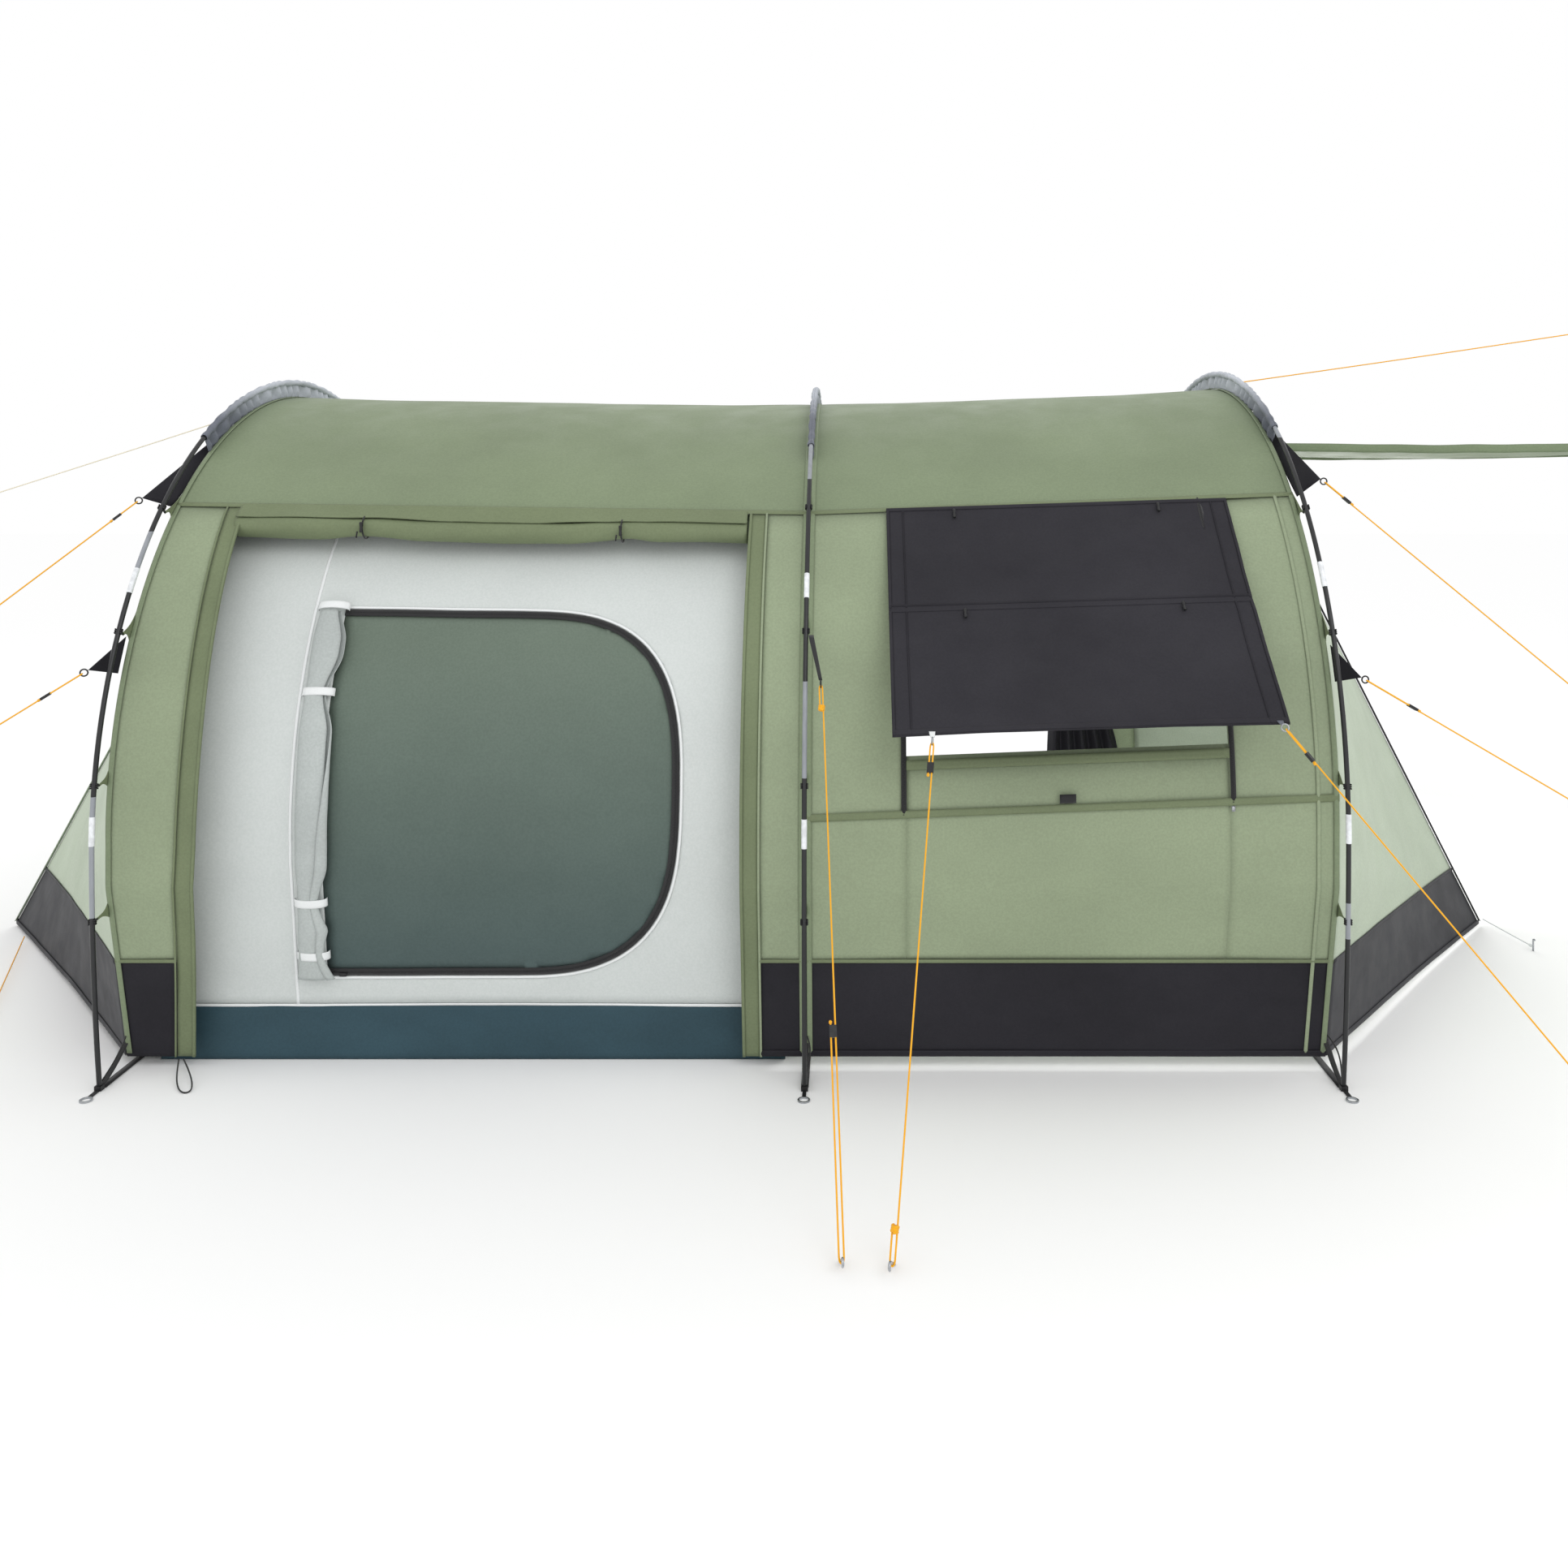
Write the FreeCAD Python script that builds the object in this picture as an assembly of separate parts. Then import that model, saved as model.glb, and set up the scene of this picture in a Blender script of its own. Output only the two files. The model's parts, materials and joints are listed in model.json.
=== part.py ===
import FreeCAD, Part
import math
import os

from FreeCAD import Vector

# Tunnel tent pitched on three outside hoops. X runs along the tunnel, Y across it, Z is up.
# The origin lies on the ground, on the centre line, in the plane of the middle hoop.

# ---- driving dimensions, in millimetres ----
HOOPS = {"left": (-1845.0, 1955.0), "middle": (0.0, 1930.0), "right": (1410.0, 1985.0)}
HOOP_RADIUS = 1320.0
FOOT_HALF_WIDTH = 1285.0
POLE_RADIUS = 6.5
POLE_BORE = 4.5
FERRULE_WALL = 1.0
FERRULE_LENGTH = 75.0
SECTIONS_PER_HOOP = 8
SHOCK_CORD_RADIUS = 1.5
FOOT_HEIGHT = 14.0
PIN_LENGTH = 60.0
PIN_CLEARANCE = 0.05
PEG_RING_BORE = 12.0
PEG_RING_WALL = 4.0
PEG_RING_HEIGHT = 4.0
PEG_RING_HALF_SPAN = 1345.0

FABRIC = 1.5
FLY_RADIUS = 1255.0
FLY_GAP = 60.0
HEM_HALF_WIDTH = 1150.0
HEM_HEIGHT = 30.0
BAND_HALF_WIDTH = 1205.0
BAND_HEIGHT = 290.0
WALL_BEND_HEIGHT = 520.0
SEAM_ANGLE = 44.85
DOOR_X = (-1660.0, -173.0)
EDGING_WIDTH = 50.0
WINDOW_X = (268.0, 1124.0)
FAR_DOOR_X = (250.0, 1050.0)
APEX_X = {"left": -2880.0, "right": 2380.0}
APEX_HEIGHT = 8.0

CLIP_HEIGHTS = (1520.0, 1190.0, 800.0, 450.0)
CLIP_WALL = 4.0
CLIP_LENGTH = 16.0
CLIP_ARM = 14.0
CLIP_TAB_HEIGHT = 70.0
STRAP_WIDTH = 20.0

INNER_X = (-1780.0, -60.0)
INNER_RADIUS = 1160.0
INNER_TOP_GAP = 110.0
TUB_HEIGHT = 150.0
TUB_HALF_WIDTH = 1105.0
INNER_DOOR_X = (-1315.0, -355.0)
INNER_DOOR_SILL = 248.0
INNER_DOOR_ANGLE = 31.4
INNER_SEAM_ANGLE = 50.0
INNER_ROLL_RADIUS = 24.0
PARTITION_DOOR_HALF_WIDTH = 550.0
PARTITION_DOOR_TOP = 1300.0

ROLL_RADIUS = 35.0
ROLL_CENTRE = (915.0, 1445.0)
FLAP_X = (228.0, 1215.0)
FLAP_TOP = (900.0, 1506.0)
FLAP_FOLD = (1153.0, 1241.0)
FLAP_EDGE = (1460.0, 960.0)
FLAP_HINGE_GAP = 3.0
FLAP_RING_X = (323.0, 1188.0)
ZIP_WIDTH = 14.0
ZIP_FOOT_HEIGHT = 700.0

CANOPY_END_X = 3400.0
CANOPY_Y = (-100.0, 1140.0)
CANOPY_HEIGHT = 1728.0
CANOPY_POLE_INSET = 40.0
CANOPY_LOWER_RADIUS = 11.0
CANOPY_UPPER_RADIUS = 9.0
CANOPY_LOWER_LENGTH = 1000.0
CANOPY_OVERLAP = 180.0
SLIDING_CLEARANCE = 0.05

GUY_RADIUS = 2.0
RING_RADIUS = 9.0
RING_WIRE = 2.0
CORD_TO_METAL = 0.2
SLIDER_SIZE = (26.0, 16.0, 7.0)
TAIL_PAST_SLIDER = 23.0
KNOT_RETURN = 60.0
KNOT_RADIUS = 9.0
PEG_RADIUS = 3.0
PEG_LOOP_HEIGHT = 18.0
PEG_ABOVE_LOOP = 30.0
PEG_HOOK_RADIUS = 7.0

# Guylines: the point that each is tied to, its peg on the ground, the end that is doubled back
# through its line runner, and how far the runner stands from that end.
GUYLINES = {
    "left_upper": (Vector(-1908, -965, 1545), Vector(-3480, -1840, 0), "top", 62.0),
    "left_lower": (Vector(-1890, -1262, 1094), Vector(-3420, -1890, 0), "top", 95.0),
    "right_upper": (Vector(1470, -955, 1600), Vector(3340, -1080, 0), "top", 75.0),
    "right_lower": (Vector(1468, -1262, 1075), Vector(3290, -1130, 0), "top", 140.0),
    "middle": (Vector(42, -1290, 1071), Vector(103, -2070, 0), "bottom", 440.0),
    "flap_left": (Vector(FLAP_RING_X[0], -FLAP_EDGE[0] - 14, 958), Vector(205, -2080, 0), "top", 60.0),
    "flap_right": (Vector(FLAP_RING_X[1], -FLAP_EDGE[0] - 14, 990), Vector(1920, -1950, 0), "top", 80.0),
}

X = Vector(1, 0, 0)
Y = Vector(0, 1, 0)
Z = Vector(0, 0, 1)

os.makedirs("parts", exist_ok=True)
solids = {}


def add(node, *pieces):
    """Put closed solids into a named node."""
    for piece in pieces:
        solids.setdefault(node, []).extend(piece.Solids)


def trimmed(shape, *nodes):
    """The shape with whatever it shares with those nodes' solids cut away."""
    for node in nodes:
        for solid in solids.get(node, []):
            if shape.BoundBox.intersect(solid.BoundBox):
                shape = shape.cut(solid)
    return shape


# ---- general shapes ----


def unit(vector):
    return vector / vector.Length


def closed_solid(faces):
    return Part.Solid(Part.Shell(faces))


def face_of(*points):
    return Part.Face(Part.makePolygon([*points, points[0]]))


def bar(start, end, radius):
    run = end - start
    return Part.makeCylinder(radius, run.Length, start, run)


def tube(start, end, radius, bore):
    return bar(start, end, radius).cut(bar(start, end, bore))


def box_between(low, high):
    size = Vector(*high) - Vector(*low)
    return Part.makeBox(size.x, size.y, size.z, Vector(*low))


def oriented_box(centre, along, across, size):
    """A block with its first size along one direction and its second across it."""
    up = along.cross(across)
    corners = []
    for a, c in ((-1, -1), (1, -1), (1, 1), (-1, 1)):
        corners.append(centre + along * (a * size[0] / 2) + across * (c * size[1] / 2) - up * (size[2] / 2))
    return face_of(*corners).extrude(up * size[2])


def swept(wire, radius, start, direction):
    profile = Part.Wire([Part.makeCircle(radius, start, direction)])
    return wire.makePipeShell([profile], True, True)


def triangle_slab(a, b, c, thickness):
    return face_of(a, b, c).extrude(thickness)


def quad_slabs(a, b, c, d, thickness):
    """Two thin prisms over a four-cornered patch that may be twisted."""
    return [triangle_slab(a, b, c, thickness), triangle_slab(a, c, d, thickness)]


# ---- hoops ----


class Hoop:
    """A semicircle on two gently bowed legs. Distance s runs from the near foot to the far foot."""

    def __init__(self, name):
        self.name = name
        self.x, self.top = HOOPS[name]
        self.spring = self.top - POLE_RADIUS - HOOP_RADIUS
        inset = HOOP_RADIUS - FOOT_HALF_WIDTH
        rise = self.spring - FOOT_HEIGHT
        self.leg_radius = (inset**2 + rise**2) / (2 * inset)
        self.leg_angle = math.asin(rise / self.leg_radius)
        self.leg = self.leg_radius * self.leg_angle
        self.crown = math.pi * HOOP_RADIUS
        self.length = 2 * self.leg + self.crown

    def point(self, s):
        if s < self.leg:
            angle = (self.leg - s) / self.leg_radius
            y = HOOP_RADIUS - self.leg_radius * (1 - math.cos(angle))
            return Vector(self.x, -y, self.spring - self.leg_radius * math.sin(angle))
        if s > self.leg + self.crown:
            mirror = self.point(self.length - s)
            return Vector(self.x, -mirror.y, mirror.z)
        angle = (s - self.leg) / HOOP_RADIUS
        return Vector(
            self.x, -HOOP_RADIUS * math.cos(angle), self.spring + HOOP_RADIUS * math.sin(angle)
        )

    def direction(self, s):
        step = 0.01
        return (self.point(min(s + step, self.length)) - self.point(max(s - step, 0))).normalize()

    def at_height(self, z):
        """Distance along the hoop where its near leg reaches a height."""
        if z < self.spring:
            return self.leg - self.leg_radius * math.asin((self.spring - z) / self.leg_radius)
        return self.leg + HOOP_RADIUS * math.asin((z - self.spring) / HOOP_RADIUS)

    def stretch(self, start, end, radius):
        """A solid rod along part of the hoop."""
        stops = [start] + [s for s in (self.leg, self.leg + self.crown) if start < s < end] + [end]
        edges = []
        for a, b in zip(stops, stops[1:]):
            edges.append(Part.Arc(self.point(a), self.point((a + b) / 2), self.point(b)).toShape())
        return swept(Part.Wire(edges), radius, self.point(start), self.direction(start))


    def foot_pin(self, radius):
        """A pin that follows the near leg's bow from just under its end."""
        start = self.point(0) - self.direction(0) * 4
        ends = self.point(0), self.point(PIN_LENGTH / 2), self.point(PIN_LENGTH)
        edges = [Part.LineSegment(start, ends[0]).toShape(), Part.Arc(*ends).toShape()]
        return swept(Part.Wire(edges), radius, start, self.direction(0))


hoops = {name: Hoop(name) for name in HOOPS}


def make_hoops():
    for name, hoop in hoops.items():
        section = hoop.length / SECTIONS_PER_HOOP
        for i in range(SECTIONS_PER_HOOP):
            rod = hoop.stretch(i * section, (i + 1) * section, POLE_RADIUS)
            add(f"hoop_{name}", rod.cut(hoop.stretch(i * section, (i + 1) * section, POLE_BORE)))
        for i in range(1, SECTIONS_PER_HOOP):
            start = i * section - FERRULE_LENGTH / 2
            sleeve = hoop.stretch(start, start + FERRULE_LENGTH, POLE_RADIUS + FERRULE_WALL)
            add("pole_ferrules", sleeve.cut(hoop.stretch(start, start + FERRULE_LENGTH, POLE_RADIUS)))
        cord_end = PIN_LENGTH + 5
        add("shock_cords", hoop.stretch(cord_end, hoop.length - cord_end, SHOCK_CORD_RADIUS))


def make_feet():
    """A turned pin in each pole end, with a flat ring beside it for the ground peg."""
    ring_radius = PEG_RING_BORE + PEG_RING_WALL
    for hoop in hoops.values():
        for side in (-1, 1):
            foot_y = side * FOOT_HALF_WIDTH
            base = box_between((hoop.x - 9, foot_y - 9, 0), (hoop.x + 9, foot_y + 9, FOOT_HEIGHT - 1))
            pin = hoop.foot_pin(POLE_BORE - PIN_CLEARANCE)
            if side > 0:
                pin = pin.mirror(Vector(0, 0, 0), Y)
            centre = Vector(hoop.x, side * PEG_RING_HALF_SPAN, 0)
            ring = tube(centre, centre + Z * PEG_RING_HEIGHT, ring_radius, PEG_RING_BORE)
            add("peg_rings", ring)
            ends = sorted((foot_y, centre.y - side * (ring_radius - 1)))
            tongue = box_between((hoop.x - 5, ends[0], 0), (hoop.x + 5, ends[1], PEG_RING_HEIGHT))
            add("foot_pins", trimmed(base.fuse(pin).fuse(tongue), "peg_rings"))
            hem = Vector(hoop.x, side * (HEM_HALF_WIDTH + 4), HEM_HEIGHT + 30)
            end = Vector(hoop.x, side * (FOOT_HALF_WIDTH - 10), 6)
            run = end - hem
            strap = oriented_box((hem + end) / 2, unit(run), X, (run.Length, STRAP_WIDTH, 2))
            add("foot_straps", trimmed(strap, "mud_band", "door_edging"))
        half_width = FOOT_HALF_WIDTH - 12
        half = STRAP_WIDTH / 2
        add(
            "foot_straps",
            box_between((hoop.x - half, -half_width, 0), (hoop.x + half, half_width, 2)),
        )


# ---- fly ----


def rise_at(x):
    """How much higher the hoops' tops stand at x than at the middle hoop."""
    middle = HOOPS["middle"][1]
    end_x, end_top = HOOPS["left"] if x < 0 else HOOPS["right"]
    return (end_top - middle) * x / end_x


class Arch:
    """A tunnel's cross-section as straight strips, from one hem over the top to the other."""

    def __init__(self, low, radius, top, angles):
        self.low = low
        self.radius = radius
        self.centre = top - radius
        self.angles = angles
        self.spring = len(low)

    def side(self, x, offset=0.0):
        """Half of the outline at x, as (half width, height) pairs from the hem to the top."""
        rise = rise_at(x)
        fixed = self.low
        outline = []
        for i, (y, z) in enumerate(fixed):
            ahead = fixed[i + 1] if i + 1 < len(fixed) else (self.radius, self.centre)
            slope = math.atan2(ahead[0] - y, ahead[1] - z)
            outline.append((y + offset * math.cos(slope), z - offset * math.sin(slope)))
        for angle in self.angles:
            reach = self.radius + offset
            outline.append(
                (
                    reach * math.cos(math.radians(angle)),
                    self.centre + rise + reach * math.sin(math.radians(angle)),
                )
            )
        return outline

    def strip(self, x0, x1, i, side):
        """One flat strip of cloth between two lengthwise seams, as a closed solid."""
        corners = []
        for x in (x0, x1):
            inner = self.side(x)
            outer = self.side(x, FABRIC)
            for outline, k in ((inner, i), (inner, i + 1), (outer, i + 1), (outer, i)):
                corners.append(Vector(x, side * outline[k][0], outline[k][1]))
        a, b, c, d, e, f, g, h = corners
        faces = [face_of(a, b, c, d), face_of(e, f, g, h)]
        for p, q, r, s in ((a, b, f, e), (b, c, g, f), (c, d, h, g), (d, a, e, h)):
            faces.append(face_of(p, q, r, s))
        solid = closed_solid(faces)
        if solid.Volume < 0:
            solid.reverse()
        return solid

    def strips(self, x0, x1, first, last, side):
        return [self.strip(x0, x1, i, side) for i in range(first, last)]


STEPS = 4
FLY_ANGLES = [SEAM_ANGLE * i / STEPS for i in range(STEPS + 1)]
FLY_ANGLES += [SEAM_ANGLE + (90 - SEAM_ANGLE) * i / STEPS for i in range(1, STEPS + 1)]
fly = Arch(
    [(HEM_HALF_WIDTH, HEM_HEIGHT), (BAND_HALF_WIDTH, BAND_HEIGHT), (FLY_RADIUS, WALL_BEND_HEIGHT)],
    FLY_RADIUS,
    HOOPS["middle"][1] - FLY_GAP,
    FLY_ANGLES,
)
SILL = fly.spring + 1
FAR_DOOR_TOP = fly.spring + 3
SEAM = fly.spring + STEPS
TOP = fly.spring + 2 * STEPS
SLEEVE_START = SEAM + 1
BAYS = ((HOOPS["left"][0], 0.0), (0.0, HOOPS["right"][0]))


def make_fly():
    left, right = HOOPS["left"][0], HOOPS["right"][0]
    for x0, x1 in BAYS:
        for side in (-1, 1):
            add("fly_roof", *fly.strips(x0, x1, SEAM, TOP, side))
        add("mud_band", *fly.strips(x0, x1, 0, 1, 1))
    outer_left = DOOR_X[0] - EDGING_WIDTH
    outer_right = DOOR_X[1] + EDGING_WIDTH
    for x0, x1 in ((left, outer_left), (outer_right, 0.0)):
        add("mud_band", *fly.strips(x0, x1, 0, 1, -1))
        add("fly_wall_near_left", *fly.strips(x0, x1, 1, SEAM, -1))
    add("door_edging", *fly.strips(outer_left, DOOR_X[0], 0, SEAM, -1))
    add("door_edging", *fly.strips(DOOR_X[1], outer_right, 0, SEAM, -1))
    add("mud_band", *fly.strips(0.0, right, 0, 1, -1))
    wall = "fly_wall_near_right"
    add(wall, *fly.strips(0.0, right, 1, SILL - 1, -1))
    add(wall, *fly.strips(0.0, WINDOW_X[0], SILL - 1, SEAM, -1))
    add(wall, *fly.strips(WINDOW_X[1], right, SILL - 1, SEAM, -1))
    add(wall, *fly.strips(*WINDOW_X, SILL - 1, SILL, -1))
    add("fly_wall_far", *fly.strips(left, 0.0, 1, SEAM, 1))
    add("fly_wall_far", *fly.strips(0.0, FAR_DOOR_X[0], 1, SEAM, 1))
    add("fly_wall_far", *fly.strips(FAR_DOOR_X[1], right, 1, SEAM, 1))
    add("fly_wall_far", *fly.strips(*FAR_DOOR_X, FAR_DOOR_TOP, SEAM, 1))


def ridge_point(end, z, hoop_z_top):
    """The point of an apse's centre seam that a height on the hoop's outline runs to."""
    share = (z - HEM_HEIGHT) / (hoop_z_top - HEM_HEIGHT)
    return seam_point(end, share * (0.65 + 0.35 * share), hoop_z_top)


def seam_point(end, share, top):
    """A point of an apse's centre seam, from its foot on the ground to the ridge."""
    foot = Vector(APEX_X[end], 0, APEX_HEIGHT)
    return foot + (Vector(HOOPS[end][0], 0, top) - foot) * share


def apse_slabs(end, side, first, last, reach=1.0, gap=0.0):
    """An apse's cloth from the hoop's outline to the centre seam, or part of the way there, in flat pieces."""
    hoop_x = HOOPS[end][0]
    outward = 1 if end == "right" else -1
    thickness = Vector(outward, side, 0).normalize() * FABRIC
    outline = fly.side(hoop_x)
    top = outline[-1][1]
    pieces = []
    for i in range(first, last):
        (y0, z0), (y1, z1) = outline[i], outline[i + 1]
        low = Vector(hoop_x + outward * gap, side * y0, z0)
        high = Vector(hoop_x + outward * gap, side * y1, z1)
        seam_low = low + (ridge_point(end, z0, top) - low) * reach
        seam_high = high + (ridge_point(end, z1, top) - high) * reach
        pieces.append(triangle_slab(low, seam_low, seam_high, thickness))
        if (high - seam_high).Length > 0.01:
            pieces.append(triangle_slab(low, seam_high, high, thickness))
    return pieces


DOOR_HEAD = TOP - 3
DOOR_HEAD_SHARE = 0.895
WING_REACH = 0.5
WING_GAP = 2.0


def make_apses():
    for end, side in (("left", -1), ("left", 1), ("right", -1)):
        add("apse_panels", *apse_slabs(end, side, 1, TOP))
    right = HOOPS["right"][0]
    outline = fly.side(right)
    tip = seam_point("right", DOOR_HEAD_SHARE, outline[-1][1])
    thickness = Vector(1, 1, 0).normalize() * FABRIC
    for (y0, z0), (y1, z1) in zip(outline[DOOR_HEAD:], outline[DOOR_HEAD + 1 :]):
        add("apse_panels", triangle_slab(Vector(right, y0, z0), tip, Vector(right, y1, z1), thickness))
    for end, side in (("left", -1), ("left", 1), ("right", -1)):
        add("mud_band", *apse_slabs(end, side, 0, 1))
    add("apse_panels", *apse_slabs("right", 1, 1, DOOR_HEAD - 1, WING_REACH, WING_GAP))
    add("mud_band", *apse_slabs("right", 1, 0, 1, WING_REACH, WING_GAP))


def make_canopy():
    """The raised far door of the right apse, held out level on two telescopic poles."""
    right = HOOPS["right"][0]
    outline = fly.side(right)
    y, z = outline[DOOR_HEAD]
    root_far = Vector(right + 1, y + 1, z - 2)
    root_near = seam_point("right", DOOR_HEAD_SHARE, outline[-1][1]) + Vector(3, 3, -3)
    end_near = Vector(CANOPY_END_X, CANOPY_Y[0], CANOPY_HEIGHT)
    end_far = Vector(CANOPY_END_X, CANOPY_Y[1], CANOPY_HEIGHT)
    for slab in quad_slabs(root_far, root_near, end_near, end_far, Z * FABRIC):
        add("canopy_panel", slab)
    pole_x = CANOPY_END_X - CANOPY_POLE_INSET
    bore = CANOPY_UPPER_RADIUS + SLIDING_CLEARANCE
    for y in (CANOPY_Y[0] + CANOPY_POLE_INSET, CANOPY_Y[1] - CANOPY_POLE_INSET):
        foot = Vector(pole_x, y, 0)
        lower = bar(foot, foot + Z * CANOPY_LOWER_LENGTH, CANOPY_LOWER_RADIUS)
        cap = 20.0
        hollow = bar(foot + Z * cap, foot + Z * (CANOPY_LOWER_LENGTH + 1), bore)
        add("canopy_lower_tubes", lower.cut(hollow))
        start = foot + Z * (CANOPY_LOWER_LENGTH - CANOPY_OVERLAP)
        add("canopy_upper_tubes", bar(start, foot + Z * (CANOPY_HEIGHT - 1), CANOPY_UPPER_RADIUS))


# ---- what joins the fly to the hoops ----


FLY_NODES = (
    "fly_roof",
    "fly_wall_near_left",
    "fly_wall_near_right",
    "fly_wall_far",
    "mud_band",
    "door_edging",
    "apse_panels",
)


def make_clips():
    for hoop in hoops.values():
        pole = hoop.stretch(0, hoop.length, POLE_RADIUS)
        ferrules = [f for f in solids["pole_ferrules"] if abs(f.CenterOfMass.x - hoop.x) < 50]
        outline = fly.side(hoop.x, FABRIC)
        for height in CLIP_HEIGHTS:
            s = hoop.at_height(height)
            for side in (-1, 1):
                mirror = Vector(1, -side, 1)
                at = hoop.point(s)
                along = hoop.direction(s)
                at = Vector(at.x, at.y * mirror.y, at.z)
                along = Vector(along.x, along.y * mirror.y, along.z)
                inward = along.cross(X)
                if inward.y * side > 0:
                    inward = inward * -1
                reach = POLE_RADIUS + CLIP_WALL
                ring = bar(at - along * (CLIP_LENGTH / 2), at + along * (CLIP_LENGTH / 2), reach)
                arm_centre = at + inward * (reach + CLIP_ARM / 2 - 2)
                arm = oriented_box(arm_centre, inward, X, (CLIP_ARM, 6, 5))
                clip = ring.fuse(arm).cut(pole)
                for ferrule in ferrules:
                    if (ferrule.CenterOfMass - at).Length < FERRULE_LENGTH:
                        clip = clip.cut(ferrule)
                add("pole_clips", clip)
                tip = at + inward * (reach + CLIP_ARM - 2)
                upper = height + CLIP_TAB_HEIGHT * 0.6
                lower = height - CLIP_TAB_HEIGHT * 0.4
                shift = X * (FABRIC / 2)
                tab = face_of(
                    tip - shift,
                    on_outline(outline, hoop.x, side, upper) - shift,
                    on_outline(outline, hoop.x, side, lower) - shift,
                ).extrude(X * FABRIC)
                add("clip_tabs", trimmed(tab, "pole_clips", *FLY_NODES))


def on_outline(outline, x, side, z):
    """The point of a cross-section at a height."""
    for (y0, z0), (y1, z1) in zip(outline, outline[1:]):
        if z0 <= z <= z1:
            share = (z - z0) / (z1 - z0)
            return Vector(x, side * (y0 + (y1 - y0) * share), z)
    return Vector(x, 0, outline[-1][1])


def make_sleeves():
    """The gathered web that hangs the fly's crown from each hoop."""
    for hoop in hoops.values():
        lower = fly.side(hoop.x, FABRIC + 0.5)[SLEEVE_START:]
        upper = []
        for y, z in lower:
            angle = math.atan2(z - hoop.spring, y)
            reach = HOOP_RADIUS - POLE_RADIUS - 1.5
            upper.append((reach * math.cos(angle), hoop.spring + reach * math.sin(angle)))
        for side in (-1, 1):
            for i in range(len(lower) - 1):
                ring = (lower[i], lower[i + 1], upper[i + 1], upper[i])
                corners = [Vector(hoop.x - FABRIC / 2, side * y, z) for y, z in ring]
                add("pole_sleeves", face_of(*corners).extrude(X * FABRIC))


def make_guy_tabs():
    """Dark reinforcing gussets at the hoops, each running out past its pole to a guyline's ring."""
    spans = {"left_upper": (1790.0, 1520.0), "right_upper": (1830.0, 1550.0)}
    spans.update({"left_lower": (1170.0, 1075.0), "right_lower": (1150.0, 1055.0)})
    for name, (high, low) in spans.items():
        end = name.split("_")[0]
        outward = -1 if end == "left" else 1
        x = HOOPS[end][0] + outward * (POLE_RADIUS + 3)
        outline = fly.side(HOOPS[end][0], FABRIC)
        anchor, peg, _, _ = GUYLINES[name]
        tip = anchor - unit(peg - anchor) * (RING_WIRE + 0.2)
        corners = (on_outline(outline, x, -1, high), on_outline(outline, x, -1, low), tip)
        gusset = face_of(*corners).extrude(X * (outward * FABRIC))
        add("guy_tabs", trimmed(gusset, "pole_clips", f"hoop_{end}", "pole_ferrules", *FLY_NODES))
    anchor, peg, _, _ = GUYLINES["middle"]
    tip = anchor - unit(peg - anchor) * (RING_WIRE + 0.2)
    hoop = hoops["middle"]
    start = hoop.point(hoop.at_height(CLIP_HEIGHTS[1] - 10)) + Vector(13, -9, 0)
    run = tip - start
    across = unit(run.cross(Y))
    strap = oriented_box((start + tip) / 2, unit(run), across, (run.Length, 14, 2))
    add("guy_tabs", trimmed(strap, "pole_clips", "hoop_middle", "pole_ferrules"))


# ---- zips, rolled door and flap ----


def wall_frame(x, z):
    """A point on the near wall's outside, with the directions up the wall and out of it."""
    outline = fly.side(x, FABRIC)
    for (y0, z0), (y1, z1) in zip(outline, outline[1:]):
        if z0 <= z <= z1:
            share = (z - z0) / (z1 - z0)
            up = unit(Vector(0, -(y1 - y0), z1 - z0))
            return Vector(x, -(y0 + (y1 - y0) * share), z), up, Vector(0, -up.z, up.y)
    raise ValueError("height is off the wall")


def make_zips():
    half = ZIP_WIDTH / 2
    for x, outward in ((WINDOW_X[0], -1), (WINDOW_X[1], 1)):
        low, up, out = wall_frame(x, ZIP_FOOT_HEIGHT)
        sill_z = fly.side(x, FABRIC)[SILL][1]
        high, _, _ = wall_frame(x, sill_z - 2)
        run = high - low
        centre = (low + high) / 2 + out * 0.8 + X * (outward * half)
        add("zip_tapes", oriented_box(centre, unit(run), X, (run.Length, ZIP_WIDTH, 1.2)))
        pull = low + unit(run) * 30 + out * 4.2 + X * (outward * half)
        node = "window_zip_pull_left" if outward < 0 else "window_zip_pull_right"
        axis = unit(run)
        print(f"{node}: slides along {axis.x:.6f} {axis.y:.6f} {axis.z:.6f}")
        add(node, oriented_box(pull, unit(run), X, (18, 9, 4)))
    y, z = inner.side(INNER_DOOR_X[0], FABRIC)[1]
    run = INNER_DOOR_X[1] - INNER_DOOR_X[0] - 60
    centre = Vector(sum(INNER_DOOR_X) / 2, -(y + 1.2), z - 6)
    add("zip_tapes", oriented_box(centre, X, Y, (run, 1.6, ZIP_WIDTH)))
    add(
        "inner_zip_pull",
        oriented_box(Vector(INNER_DOOR_X[0] + 45, -(y + 5.0), z - 6), X, Y, (20, 4, 10)),
    )


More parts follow.
